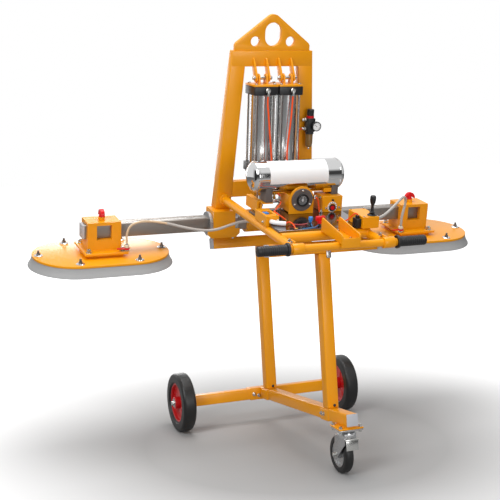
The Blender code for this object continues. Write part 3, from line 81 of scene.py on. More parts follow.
# Where pieces stand in those frames; pairs stand at plus and minus x
WHEEL_X, HOUSING_X, PAD_X = 0.396, 0.205, 0.742
CYLINDER_X, CYLINDER_PIN = 0.0575, (-0.038, 0.738)      # the pin's y and z
CYLINDER_LEAN = math.radians(-3.0748)
CRANK_RADIUS, CRANK_ANGLE = 0.110, math.radians(52)
JOYSTICK, FLOW_KNOB, VENT_VALVE = (0.200, -0.625), (-0.030, -0.545), (0.000, -0.570)

LINE_RADIUS = 0.003           # of the orange air lines on the deck
DIAL_START = 225              # degrees from +X where the gauges' scales begin
HOSE_STEPS = 12               # points between two points of a hose's route


class Side(Enum):
    """Side of the lifter, seen from the handle."""

    LEFT = -1
    RIGHT = 1

    @property
    def sign(self) -> int:
        """Direction of the side along X."""
        return self.value

    @property
    def word(self) -> str:
        """The side's name in piece and body names."""
        return self.name.lower()


def linear(colour: str) -> tuple:
    """Turn an sRGB hex colour to linear.

    Args:
        colour: The colour as "#RRGGBB".

    Returns:
        The linear colour with an alpha of 1.
    """
    values = [int(colour[i:i + 2], 16) / 255 for i in (1, 3, 5)]
    return (*(v / 12.92 if v <= 0.04045 else ((v + 0.055) / 1.055) ** 2.4 for v in values), 1.0)


def add_node(tree: bpy.types.NodeTree, kind: str, settings: Optional[dict] = None,
             links: Optional[dict] = None) -> bpy.types.Node:
    """Add a node with its settings and links.

    Args:
        tree: The node tree.
        kind: The node's type.
        settings: Values of its properties, or of its inputs by their names or places.
        links: The output that each input, named or counted, is joined to.

    Returns:
        The new node.
    """
    node = tree.nodes.new(kind)
    for key, value in (settings or {}).items():
        if isinstance(key, int) or key in node.inputs:
            node.inputs[key].default_value = value
        else:
            setattr(node, key, value)
    for key, output in (links or {}).items():
        tree.links.new(output, node.inputs[key])
    return node


@dataclass(frozen=True)
class Finish:
    """One surface: what it is made of and how it was made."""

    name: str
    slot: str
    colour: str
    roughness: float
    metallic: float = 0.0
    coat: float = 0.0
    ior: float = 1.5
    grain_mm: float = 1.0
    grain_stretch: tuple = (1.0, 1.0, 1.0)
    grain_depth_mm: float = 0.0
    mottle: float = 0.04
    transmission: float = 0.0
    specular: float = 0.5

    def material(self) -> bpy.types.Material:
        """Return the finish's material, made on first use."""
        found = bpy.data.materials.get(self.name)
        if found:
            return found
        material = bpy.data.materials.new(self.name)
        material.use_nodes = True
        tree = material.node_tree
        tree.nodes.clear()
        output = add_node(tree, "ShaderNodeOutputMaterial")
        shader = add_node(tree, "ShaderNodeBsdfPrincipled", {
            "Metallic": self.metallic, "Coat Weight": self.coat, "Coat Roughness": 0.12,
            "Transmission Weight": self.transmission})
        if not self.metallic:
            shader.inputs["IOR"].default_value = self.ior
            shader.inputs["Specular IOR Level"].default_value = self.specular
        tree.links.new(shader.outputs["BSDF"], output.inputs["Surface"])
        place = add_node(tree, "ShaderNodeTexCoord")
        spread = add_node(tree, "ShaderNodeMapping", {"Scale": self.grain_stretch},
                          {"Vector": place.outputs["Object"]})
        grain = add_node(tree, "ShaderNodeTexNoise",
                         {"Scale": 1000.0 / self.grain_mm, "Detail": 2.0},
                         {"Vector": spread.outputs["Vector"]})
        base = linear(self.colour)
        dark = tuple(c * (1 - self.mottle) for c in base[:3]) + (1.0,)
        tint = add_node(tree, "ShaderNodeMix", {"data_type": "RGBA"},
                        {"Factor": grain.outputs["Fac"]})
        tint.inputs[6].default_value = dark
        tint.inputs[7].default_value = base
        tree.links.new(tint.outputs[2], shader.inputs["Base Color"])
        gloss = add_node(tree, "ShaderNodeMapRange",
                         {"To Min": self.roughness * 0.9, "To Max": self.roughness * 1.1},
                         {"Value": grain.outputs["Fac"]})
        tree.links.new(gloss.outputs["Result"], shader.inputs["Roughness"])
        if self.grain_depth_mm:
            bump = add_node(tree, "ShaderNodeBump",
                            {"Strength": 0.5, "Distance": self.grain_depth_mm / 1000},
                            {"Height": grain.outputs["Fac"]})
            tree.links.new(bump.outputs["Normal"], shader.inputs["Normal"])
        return material


# Two-pack enamel sprayed on steel: even and glossy, with a faint orange peel
PAINT = Finish("sprayed_orange_enamel", "orange_paint", "#EE9C02", 0.34, coat=0.10, grain_mm=3.0,
               grain_depth_mm=0.02, mottle=0.02, specular=0.32)
# Zinc plate with the drawing lines of the bar, which run along X
ZINC = Finish("zinc_plated_steel", "galvanised_steel", "#96908A", 0.36, metallic=0.85, grain_mm=1.2,
              grain_stretch=(0.04, 1.0, 1.0), grain_depth_mm=0.01, mottle=0.10)
# Bright zinc plate of bolts, nuts, rods and fittings
BRIGHT = Finish("bright_zinc_fasteners", "galvanised_steel", "#C9C9C6", 0.22, metallic=1.0,
                grain_mm=2.0, mottle=0.05)
# The threaded studs, dull and a little worn
DULL_STEEL = Finish("dull_steel_studs", "galvanised_steel", "#7D7A78", 0.40, metallic=1.0,
                    grain_mm=1.0, mottle=0.15)
# Pressed sheet, zinc plated after bending
CASTER_ZINC = Finish("pressed_zinc_caster_steel", "galvanised_steel", "#B9BABB", 0.28, metallic=0.9,
                     grain_mm=4.0, mottle=0.08)
# The tank and the big washers, polished to a mirror
CHROME = Finish("mirror_polished_stainless", "polished_steel", "#D8D8D8", 0.06, metallic=1.0,
                grain_mm=20.0, mottle=0.02)
# Aluminium tube, ground along its length
GROUND = Finish("ground_aluminium_barrel", "aluminium", "#CFCFCF", 0.20, metallic=1.0, grain_mm=1.5,
                grain_stretch=(1.0, 1.0, 0.05), mottle=0.06)
# Rolled plate polished in lines from front to back
DARK_DECK = Finish("dark_polished_deck_steel", "dark_steel", "#8A8688", 0.14, metallic=1.0,
                   grain_mm=1.0, grain_stretch=(1.0, 0.03, 1.0), mottle=0.12)
# Moulded rubber: matt, with fine pits
TYRE = Finish("solid_rubber_tyre", "black_tyre", "#121212", 0.42, grain_mm=2.0,
              grain_depth_mm=0.08, mottle=0.15)
LIP = Finish("grey_moulded_rubber", "grey_rubber", "#A6A6A6", 0.6, grain_mm=1.5,
             grain_depth_mm=0.05, mottle=0.05)
# Anodised aluminium, and moulded plastic and rubber in black
ANODISED = Finish("black_anodised_caps", "black_plastic", "#1C1D1F", 0.38, grain_mm=1.0, mottle=0.1)
BLACK = Finish("moulded_black_plastic", "black_plastic", "#101012", 0.45, grain_mm=1.0,
               grain_depth_mm=0.03, mottle=0.1)
GRIP = Finish("ribbed_grip_rubber", "black_plastic", "#151517", 0.45, grain_mm=1.0,
              grain_depth_mm=0.05, mottle=0.1)
# Moulded plastic knobs and levers; the rims are enamelled sheet
RED = Finish("moulded_red_plastic", "red_plastic", "#D4101A", 0.34, coat=0.05, mottle=0.03,
             specular=0.3)
RIM_RED = Finish("red_enamelled_rim", "red_plastic", "#C41519", 0.3, coat=0.15, mottle=0.03)
BLUE = Finish("moulded_blue_plastic", "blue_plastic", "#2C86D6", 0.35, mottle=0.03)
# Thin nylon and vinyl tube
ORANGE_LINE = Finish("orange_nylon_air_line", "red_plastic", "#F5541A", 0.35, mottle=0.03,
                     specular=0.3)
RED_LINE = Finish("thin_red_air_line", "red_plastic", "#C8474A", 0.4, mottle=0.03)
BLUE_LINE = Finish("thin_blue_air_line", "blue_plastic", "#3C7FB8", 0.4, mottle=0.03)
CLEAR_HOSE = Finish("clear_vinyl_hose", "clear_hose", "#D9BE9C", 0.30, ior=1.45, mottle=0.05)
CONDUIT = Finish("ribbed_grey_conduit", "clear_hose", "#B9B3AD", 0.45, mottle=0.05)
# Small fittings, plugs, films and dials
CREAM = Finish("cream_nylon_fitting", "clear_hose", "#DDD5BC", 0.4, mottle=0.03)
CAP_GREY = Finish("grey_moulded_end_cap", "grey_rubber", "#B8B9BF", 0.5, mottle=0.03)
WHITE = Finish("plain_white_film", "aluminium", "#F4F4F4", 0.4, mottle=0.01)
GAUGE_GREY = Finish("grey_cast_gauge_flange", "black_plastic", "#5E5754", 0.5, grain_mm=0.6,
                    mottle=0.15)
BOWL = Finish("smoked_polycarbonate_bowl", "black_plastic", "#9A7A45", 0.15, transmission=0.35,
              mottle=0.03)
DIAL = Finish("dark_printed_dial", "black_plastic", "#6C6F70", 0.5, mottle=0.03)
BRASS = Finish("turned_brass", "galvanised_steel", "#C9A05A", 0.3, metallic=1.0, mottle=0.05)

# The studio. It isn't exported, so its finishes have no slot.
FLOOR = Finish("studio_floor", "", "#AEAEAE", 0.9, grain_mm=400.0, mottle=0.01, specular=0.1)
FLOOR_SIZE = 30.0
GLOW_FROM_TO = (0.65, 1.9)              # metres from the middle where the floor's painted glow fades in and turns it white
CARD = Finish("dark_studio_card", "", "#161616", 0.9, mottle=0.01)
CARDS = (("left_card", (-3.6, -0.4, 1.6), (1.6, 2.8), 70.0),            # place, size, degrees
         ("back_card", (3.8, 1.2, 1.6), (1.4, 3.0), -80.0))
LIGHTS = (("key", (-3.6, -2.4, 3.6), 2.2, 120.0),                       # place, size, watts
          ("fill", (0.4, -5.2, 1.6), 2.0, 68.0),
          ("top", (0.0, 0.3, 4.6), 2.6, 120.0),
          ("rim", (0.3, 5.8, 1.9), 2.2, 80.0))
LIGHTS_AIM = (0, 0, 0.8)
BEHIND = (0.373, 0.928, 0.0)            # level direction that the camera looks in
WALL_FROM_TO = (-0.30, 0.10)            # how far towards BEHIND the bright wall fades in
CEILING_FROM_TO = (0.26, 0.52)          # how far upwards the bright ceiling fades in
MIRRORED = (0.06, 0.95)                 # the world's strength to glossy rays, dark and bright
AMBIENT = 0.34                          # its strength to all other rays but the camera's
CAMERA_PLACE = (-1.8905, -4.2175, 1.4729)
CAMERA_ANGLES = (21.9, 7.87, -0.98)     # degrees: azimuth, drop, roll
CAMERA_SENSOR_MM, CAMERA_LENS_MM = 36.0, 79.54


def select_only(*objects: bpy.types.Object) -> None:
    """Select these objects and make the first the active one."""
    if bpy.context.object and bpy.context.object.mode != "OBJECT":
        bpy.ops.object.mode_set(mode="OBJECT")
    bpy.ops.object.select_all(action="DESELECT")
    for item in objects:
        item.select_set(True)
    bpy.context.view_layer.objects.active = objects[0]


def soften(solid: bpy.types.Object, width: float, segments: int = 3) -> bpy.types.Object:
    """Round a solid's sharp edges and shade it smooth.

    Args:
        solid: The mesh object.
        width: Width of the rounding in metres, or 0 for none.
        segments: Faces across the rounding.

    Returns:
        The same object.
    """
    select_only(solid)
    if width:
        bevel = solid.modifiers.new("rounded edges", "BEVEL")
        bevel.width = width
        bevel.segments = segments
        bevel.limit_method = "ANGLE"
        bevel.angle_limit = BEVEL_ANGLE
        bpy.ops.object.modifier_apply(modifier=bevel.name)
    bpy.ops.object.shade_smooth_by_angle(angle=SMOOTH_ANGLE)
    return solid


def move(solid: bpy.types.Object, matrix: Matrix) -> bpy.types.Object:
    """Move a solid by a matrix and leave its object at the origin.

    Args:
        solid: The mesh object.
        matrix: The movement.

    Returns:
        The same object.
    """
    select_only(solid)
    solid.matrix_world = matrix @ solid.matrix_world
    bpy.ops.object.transform_apply(location=True, rotation=True, scale=True)
    return solid


def box(low: Point, high: Point, rounding: float = 0.0) -> bpy.types.Object:
    """Add a box between two corners.

    Args:
        low: The lowest corner.
        high: The highest corner.
        rounding: Width of its rounded edges.

    Returns:
        The box.
    """
    low, high = Vector(low), Vector(high)
    bpy.ops.mesh.primitive_cube_add(size=1.0, location=(low + high) / 2)
    solid = bpy.context.object
    solid.scale = high - low
    select_only(solid)
    bpy.ops.object.transform_apply(location=True, rotation=True, scale=True)
    return soften(solid, rounding)


def round_bar(start: Point, end: Point, radius: float, far_radius: Optional[float] = None,
              sides: int = 40, rounding: float = 0.0) -> bpy.types.Object:
    """Add a cylinder or cone between two points.

    Args:
        start: Middle of the first end.
        end: Middle of the other end.
        radius: Radius at the first end.
        far_radius: Radius at the other end, if unlike the first.
        sides: Number of sides.
        rounding: Width of its rounded edges.

    Returns:
        The bar.
    """
    start, end = Vector(start), Vector(end)
    bpy.ops.mesh.primitive_cone_add(vertices=sides, radius1=radius,
                                    radius2=radius if far_radius is None else far_radius,
                                    depth=(end - start).length, location=(start + end) / 2,
                                    rotation=(end - start).to_track_quat("Z", "Y").to_euler())
    solid = bpy.context.object
    select_only(solid)
    bpy.ops.object.transform_apply(location=True, rotation=True, scale=True)
    return soften(solid, rounding, 2)


def close_mesh(weld: bool = True) -> None:
    """Turn the faces of the mesh in edit mode outwards and go back to object mode.

    Args:
        weld: Whether points that lie on each other are joined first.
    """
    bpy.ops.mesh.select_all(action="SELECT")
    if weld:
        bpy.ops.mesh.remove_doubles(threshold=WELD)
    bpy.ops.mesh.normals_make_consistent(inside=False)
    bpy.ops.object.mode_set(mode="OBJECT")


def trace(points: Sequence[Point], closed: bool) -> bpy.types.Object:
    """Draw an edge chain by extruding one vertex from point to point, and stay in edit mode.

    Args:
        points: The chain's points.
        closed: Whether its last point joins its first.

    Returns:
        The object, with the chain selected.
    """
    bpy.ops.mesh.primitive_plane_add(size=0.001, location=(0, 0, 0))
    solid = bpy.context.object
    bpy.ops.object.mode_set(mode="EDIT")
    bpy.ops.mesh.select_all(action="SELECT")
    bpy.ops.mesh.merge(type="CENTER")
    bpy.ops.mesh.select_mode(type="VERT")
    bpy.ops.mesh.select_all(action="SELECT")
    points = [Vector(point) for point in points]
    bpy.ops.transform.translate(value=points[0])
    for before, after in zip(points, points[1:]):
        bpy.ops.mesh.extrude_vertices_move(TRANSFORM_OT_translate={"value": after - before})
    bpy.ops.mesh.select_all(action="SELECT")
    if closed:
        bpy.ops.mesh.edge_face_add()
    return solid


def lathe(profile: Sequence[Point], steps: int = 64, origin: Point = (0, 0, 0),
          axis: Point = UP, closed: bool = False) -> bpy.types.Object:
    """Spin a profile about an axis.

    Args:
        profile: (radius, height) points.
        steps: Number of steps around.
        origin: Where height 0 lies.
        axis: Direction of the axis.
        closed: Whether the profile's last point joins its first, as for a ring.

    Returns:
        The turned solid.
    """
    points = [(radius, 0.0, height) for radius, height in profile]
    if closed:
        points.append(points[0])
    solid = trace(points, False)
    bpy.ops.mesh.spin(steps=steps, angle=2 * math.pi, center=(0, 0, 0), axis=UP)
    close_mesh()
    turn = Vector(axis).to_track_quat("Z", "Y").to_matrix().to_4x4()
    return soften(move(solid, Matrix.Translation(origin) @ turn), 0.0)


def plate(outline: Sequence[Point], thickness: float, matrix: Matrix, rounding: float = 0.0,
          cutters: Sequence[bpy.types.Object] = ()) -> bpy.types.Object:
    """Extrude an outline to a plate and cut its holes.

    Args:
        outline: (x, y) points around the plate.
        thickness: Its thickness, from z = 0 upwards.
        matrix: Where the plate goes.
        rounding: Width of its rounded edges.
        cutters: Solids in the plate's own frame, which are cut out.

    Returns:
        The plate.
    """
    solid = trace([(x, y, 0.0) for x, y in outline], True)
    bpy.ops.mesh.extrude_region_move(TRANSFORM_OT_translate={"value": (0, 0, thickness)})
    close_mesh(weld=False)
    carve(solid, cutters)
    return move(soften(solid, rounding), matrix)


def carve(solid: bpy.types.Object, cutters: Sequence[bpy.types.Object]) -> bpy.types.Object:
    """Cut solids out of another and delete them.

    Args:
        solid: What is cut.
        cutters: What is cut out of it.

    Returns:
        The cut solid.
    """
    for cutter in cutters:
        select_only(solid)
        cut = solid.modifiers.new("cut", "BOOLEAN")
        cut.operation = "DIFFERENCE"
        cut.solver = "EXACT"
        cut.object = cutter
        bpy.ops.object.modifier_apply(modifier=cut.name)
        bpy.data.objects.remove(cutter, do_unlink=True)
    return solid


def merge(*solids: bpy.types.Object) -> bpy.types.Object:
    """Join solids to one object.

    Args:
        solids: The mesh objects.

    Returns:
        The joined object.
    """
    select_only(*solids)
    if len(solids) > 1:
        bpy.ops.object.join()
    return bpy.context.object


def smooth_line(points: Sequence[Point], steps: int = 8) -> list:
    """Return points on a smooth curve through the given ones.

    Args:
        points: Where the curve passes.
        steps: Points for each stretch.

    Returns:
        The points as vectors.
    """
    points = [Vector(point) for point in points]
    ends = [2 * points[0] - points[1], *points, 2 * points[-1] - points[-2]]
    line = []
    for before, start, end, after in zip(ends, ends[1:], ends[2:], ends[3:]):
        for index in range(steps):
            t = index / steps
            line.append(0.5 * (2 * start + (end - before) * t
                               + (2 * before - 5 * start + 4 * end - after) * t ** 2
                               + (3 * start - before - 3 * end + after) * t ** 3))
    return [*line, points[-1]]


def pipe(points: Sequence[Point], radius: float, smooth: bool = True,
         radii: Optional[Sequence[float]] = None) -> bpy.types.Object:
    """Sweep a round section along a line.

    Args:
        points: Where the line passes.
        radius: Radius of the section.
        smooth: Whether the line is smoothed.
        radii: Share of the radius at each point of an unsmoothed line.

    Returns:
        The pipe as a mesh.
    """
    line = smooth_line(points) if smooth else [Vector(point) for point in points]
    curve = bpy.data.curves.new("pipe", "CURVE")
    curve.dimensions = "3D"
    curve.bevel_depth = radius
    curve.bevel_resolution = 4
    curve.use_fill_caps = True
    spline = curve.splines.new("POLY")
    spline.points.add(len(line) - 1)
    for index, point in enumerate(line):
        spline.points[index].co = (*point, 1.0)
        spline.points[index].radius = radii[index] if radii else 1.0
    solid = bpy.data.objects.new("pipe", curve)
    bpy.context.scene.collection.objects.link(solid)
    select_only(solid)
    bpy.ops.object.convert(target="MESH")
    solid = bpy.context.object
    bpy.ops.object.mode_set(mode="EDIT")
    close_mesh()
    return soften(solid, 0.0)


def bolt(position: Point, axis: Point, size: float = 0.005, washer: float = 0.0,
         stud: float = 0.0) -> bpy.types.Object:
    """Model a hexagon head or nut with its washer and stud.

    Args:
        position: Where it meets the surface.
        axis: Direction that it stands out in.
        size: Half width of the hexagon.
        washer: Radius of its washer, or 0 for none.
        stud: How far the stud stands out of the nut.

    Returns:
        The joined fastener.
    """
    start, axis = Vector(position), Vector(axis).normalized()
    parts = []
    if washer:
        parts.append(round_bar(start, start + axis * 0.002, washer, sides=32, rounding=0.0004))
        start = start + axis * 0.002
    height = size * 1.1
    parts.append(round_bar(start, start + axis * height, size, sides=HEX, rounding=0.0005))
    if stud:
        parts.append(round_bar(start + axis * height * 0.5, start + axis * (height + stud),
                               size * 0.55, sides=20, rounding=0.0005))
    return merge(*parts)


def dress(solid: bpy.types.Object, name: str, finish: Finish, body: str,
          *nodes: str) -> bpy.types.Object:
    """Name a piece, give it its finish and let it ride on its body.

    Args:
        solid: The finished mesh object.
        name: The piece's name.
        finish: Its surface.
        body: The body that carries it.
        nodes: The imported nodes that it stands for.

    Returns:
        The same object.
    """
    solid.name = name
    solid.data.name = name
    solid.data.materials.clear()
    solid.data.materials.append(finish.material())
    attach(solid, body)
    if nodes:
        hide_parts(*nodes)
    return solid


def arc(centre: Point, radius: float, start: float, end: float, count: int) -> list:
    """Return points on an arc, with its angles in degrees."""
    return [(centre[0] + radius * math.cos(math.radians(start + (end - start) * i / count)),
             centre[1] + radius * math.sin(math.radians(start + (end - start) * i / count)))
            for i in range(count + 1)]


def mirrored(profile: Sequence[Point]) -> list:
    """Return a profile's points on the other side of z = 0, in reverse order."""
    return [(radius, -z) for radius, z in reversed(profile)]


def link(first: Point, first_radius: float, second: Point, second_radius: float) -> list:
    """Return the outline round two circles and their outer tangents.

    Args:
        first: Middle of the first circle.
        first_radius: Its radius.
        second: Middle of the second circle.
        second_radius: Its radius.

    Returns:
        The outline's points.
    """
    reach = math.hypot(second[0] - first[0], second[1] - first[1])
    heading = math.degrees(math.atan2(second[1] - first[1], second[0] - first[0]))
    spread = math.degrees(math.acos((first_radius - second_radius) / reach))
    return (arc(first, first_radius, heading + spread, heading + 360 - spread, 16)
            + arc(second, second_radius, heading - spread, heading + spread, 16))


def stadium(half_length: float, radius: float, count: int = 32) -> list:
    """Return a straight-sided outline with half-round ends, of this length over all."""
    middle = half_length - radius
    return arc((middle, 0), radius, -90, 90, count) + arc((-middle, 0), radius, 90, 270, count)


def facing_front(back: float) -> Matrix:
    """Return the matrix that stands an (x, z) outline at this y, thickening towards the front."""
    return Matrix.Translation((0, back, 0)) @ Matrix.Rotation(math.pi / 2, 4, "X")


def facing_side(x: float) -> Matrix:
    """Return the matrix that stands a (y, z) outline at this x, thickening towards +X."""
    swap = Matrix(((0, 0, 1, 0), (1, 0, 0, 0), (0, 1, 0, 0), (0, 0, 0, 1)))
    return Matrix.Translation((x, 0, 0)) @ swap


def on_dial(middle: Point, degrees: float) -> Matrix:
    """Return the matrix that puts a mark drawn upright at this angle of a dial, counted from +X."""
    return Matrix.Translation(middle) @ Matrix.Rotation(math.radians(degrees) - math.pi / 2, 4, "Y")


def tapered(foot: Sequence[float], head: Sequence[float], rounding: float) -> bpy.types.Object:
    """Model a leaning, tapering square post.

    Args:
        foot: Low and high x, low and high y, and z of its lower end.
        head: The same of its upper end.
        rounding: Width of its rounded edges.

    Returns:
        The post.
    """
    left, right, front, back, low = foot
    solid = trace([(left, front, low), (right, front, low), (right, back, low), (left, back, low)],
                  True)
    start = Vector(((left + right) / 2, (front + back) / 2, low))
    end = Vector(((head[0] + head[1]) / 2, (head[2] + head[3]) / 2, head[4]))
    bpy.ops.mesh.extrude_region_move(TRANSFORM_OT_translate={"value": end - start})
    bpy.ops.transform.resize(value=((head[1] - head[0]) / (right - left),
                                    (head[3] - head[2]) / (back - front), 1.0),
                             center_override=end)
    close_mesh(weld=False)
    return soften(solid, rounding)


@dataclass
class Assembly:
    """Pieces that are modelled in one frame."""

    frame: Matrix

    def add(self, name: str, finish: Finish, body: str, nodes: Sequence[str],
            *solids: bpy.types.Object) -> bpy.types.Object:
        """Join solids to one piece, move it to the shared frame and dress it.

        Args:
            name: The piece's name.
            finish: Its surface.
            body: The body that carries it.
            nodes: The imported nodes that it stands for.
            solids: What it is made of, in the assembly's frame.

        Returns:
            The piece.
        """
        piece = dress(move(merge(*solids), self.frame), name, finish, body, *nodes)
        LOG.info("%s: %d faces", name, len(piece.data.polygons))
        return piece


@dataclass
class Trolley(Assembly):
    """Square tubes of the trolley, in the frame of its axle."""

    tube: float = 0.048
    axle_half: float = 0.443
    nose: float = -0.897
    rise: float = 0.005
    rear_leg: float = -0.082
    front_leg: float = -0.711
    rear_top: float = 0.723
    front_top: float = 0.695
    rest_half: float = 0.240

    def build(self) -> None:
        """Build the beams, the legs, their end caps and bolts."""
        half = self.tube / 2
        low, high = self.rise - half, self.rise + half
        self.add("axle_beam_tube", PAINT, ROOT, ["axle_beam"],
                 box((-0.350, -half, -half), (0.350, half, half), 0.004),
                 box((-0.075, -half - 0.003, -half - 0.003),
                     (0.034, half + 0.003, half + 0.003), 0.003))
        self.add("stub_axles", BRIGHT, ROOT, [],
                 round_bar((-self.axle_half, 0, 0), (-0.3503, 0, 0), 0.010, rounding=0.001),
                 round_bar((0.3503, 0, 0), (self.axle_half, 0, 0), 0.010, rounding=0.001))
        into = self.frame.inverted() @ CASTER @ Matrix.Translation((0, 0, 0.1963))
        mount = [move(solid, into) for solid in (
            box((-0.052, -0.043, 0), (0.052, 0.043, 0.006), 0.0015),
            box((-0.022, -0.039, 0.003), (0.022, 0.039, 0.026)))]
        sleeves = [box((-half - 0.0025, leg - half, low - 0.0025),
                       (half + 0.0025, leg + 0.046, high - 0.006), 0.002)
                   for leg in (self.front_leg, self.rear_leg)]
        self.add("base_beam_tube", PAINT, ROOT, ["base_beam"],
                 box((-half, self.nose + 0.003, low), (half, -half - GAP, high), 0.004),
                 *sleeves, *mount)
        for word, leg, top in (("front", self.front_leg, self.front_top),
                               ("rear", self.rear_leg, self.rear_top)):
            self.add(f"{word}_leg_tube", PAINT, ROOT, [f"{word}_leg"],
                     box((-half, leg - half, high + GAP), (half, leg + half, top - self.tube - GAP),
                         0.004))
        self.build_rests()
        self.build_caps(low, high)
        self.build_fasteners(high)

    def build_rests(self) -> None:
        """Build the two beams that the lifter rests on, with their blocks."""
        half = self.tube / 2
        into = self.frame.inverted() @ LIFTER
        rear = [box((-self.rest_half + 0.003, self.rear_leg - half, self.rear_top - self.tube),
                    (self.rest_half - 0.003, self.rear_leg + half, self.rear_top), 0.004)]
        front = [box((-self.rest_half + 0.003, self.front_leg - half, self.front_top - self.tube),
                     (self.rest_half - 0.003, self.front_leg + half, self.front_top), 0.004)]
        for side in Side:
            x = side.sign * HOUSING_X
            block = box((x - 0.030, -0.004, 0.006), (x + 0.030, 0.032, 0.0397), 0.0015)
            rear.append(move(block, into))
            x = side.sign * 0.152
            block = box((x - 0.020, -0.617, 0.160), (x + 0.020, -0.585, 0.194), 0.0015)
            seat = round_bar((x - 0.030, -0.625, 0.206), (x + 0.030, -0.625, 0.206), 0.0203)
            front.append(move(carve(block, [seat]), into))
        self.add("rear_rest", PAINT, ROOT, ["rear_rest_beam"], *rear)
        self.add("front_rest", PAINT, ROOT, ["front_rest_beam"], *front)

    def build_caps(self, low: float, high: float) -> None:
        """Build the grey plugs in the open ends of the beams."""
        half = self.tube / 2
        plugs = [box((-half, self.nose, low), (half, self.nose + 0.0027, high), 0.0010)]
        for leg, top in ((self.rear_leg, self.rear_top), (self.front_leg, self.front_top)):
            for side in Side:
                near, far = sorted(side.sign * x for x in (self.rest_half, self.rest_half - 0.0027))
                plugs.append(box((near, leg - half, top - self.tube), (far, leg + half, top),
                                 0.001))
        for side in Side:
            near, far = sorted((side.sign * 0.3503, side.sign * 0.3530))
            plugs.append(carve(box((near, -half, -half), (far, half, half), 0.0010),
                               [round_bar((near - 0.01, 0, 0), (far + 0.01, 0, 0), 0.0103)]))
        self.add("beam_end_caps", CAP_GREY, ROOT, [], *plugs)

    def build_fasteners(self, high: float) -> None:
        """Build the bolts of the joints and the small bracket at the top of the front leg."""
        half = self.tube / 2
        bright = [bolt((x, -half - 0.003, z), TO_FRONT, 0.0055, 0.009)
                  for x, z in ((-0.057, 0.000), (-0.033, -0.007), (0.020, 0.010))]
        bright += [bolt((-half - 0.0025, self.front_leg + y, high - half), (-1, 0, 0), 0.0055,
                        0.009) for y in (0.015, 0.034)]
        self.add("joint_bolts", BRIGHT, ROOT, [], *bright)
        black = [bolt((0.005, leg - half, high + 0.011), TO_FRONT, 0.004, 0.006)
                 for leg in (self.rear_leg, self.front_leg)]
        self.add("black_bolts", ANODISED, ROOT, [], *black)
        front, low = self.front_leg - half, 0.628
        self.add("leg_bracket", CASTER_ZINC, ROOT, [],
                 box((0.0064, front - 0.004, low), (0.0266, front - GAP, low + 0.032), 0.001),
                 bolt((0.0165, front - 0.004, low + 0.008), TO_FRONT, 0.0040),
                 bolt((0.0165, front - 0.004, low + 0.024), TO_FRONT, 0.0040))


@dataclass
class TrolleyWheel(Assembly):
    """Solid rubber wheel with a dished, spoked rim, about X."""

    side: Side
    radius: float = 0.130
    half: float = 0.030
    rim: float = 0.086
    hub: float = 0.026
    spokes: int = 5

    def build(self) -> None:
        """Build the tyre, the rim with its spokes, and the hub's bolt."""
        body = f"{self.side.word}_wheel"
        lip = self.half - 0.008
        tread = arc((self.radius - 0.014, self.half - 0.014), 0.014, 90, 0, 10)
        tread += arc((self.radius - 0.014, -self.half + 0.014), 0.014, 0, -90, 10)
        seat = self.rim + GAP
        ring = [(seat, lip - 0.002), (seat, lip), (self.rim + 0.006, self.half), *tread,
                (self.rim + 0.006, -self.half), (seat, -lip), (seat, -lip + 0.002)]
        self.add(f"{body}_tyre", TYRE, body, [f"{self.side.word}_tyre"],
                 lathe(ring, 96, axis=ALONG_X, closed=True))
        dish = [(0.0105, 0.035), (self.hub - 0.002, 0.035), (self.hub, 0.033),
                (self.hub + 0.002, 0.010), (self.rim - 0.016, 0.006), (self.rim - 0.008, 0.010),
                (self.rim - 0.006, lip - 0.001), (self.rim - 0.004, lip), (self.rim, lip)]
        solids = [lathe([*dish, *mirrored(dish)], 96, axis=ALONG_X, closed=True)]
        for index in range(self.spokes):
            spoke = tapered((-0.012, 0.012, -0.014, 0.014, self.hub - 0.003),
                            (-0.009, 0.009, -0.010, 0.010, self.rim - 0.007), 0.003)
            turn = Matrix.Rotation(2 * math.pi * (index + 0.2) / self.spokes, 4, "X")
            solids.append(move(spoke, turn))
        self.add(f"{body}_rim", RIM_RED, body, [f"{self.side.word}_rim"], *solids)
        ring = [(0.0105, 0.0352), (0.018, 0.0352), (0.018, 0.0372), (0.0105, 0.0372)]
        self.add(f"{body}_washer", CASTER_ZINC, body, [],
                 lathe([(r, self.side.sign * z) for r, z in ring], 48, axis=ALONG_X, closed=True))
        end = self.side.sign
        self.add(f"{self.side.word}_axle_nut", BRIGHT, ROOT, [],
                 bolt((end * 0.0375, 0, 0), (end, 0, 0), 0.0085))


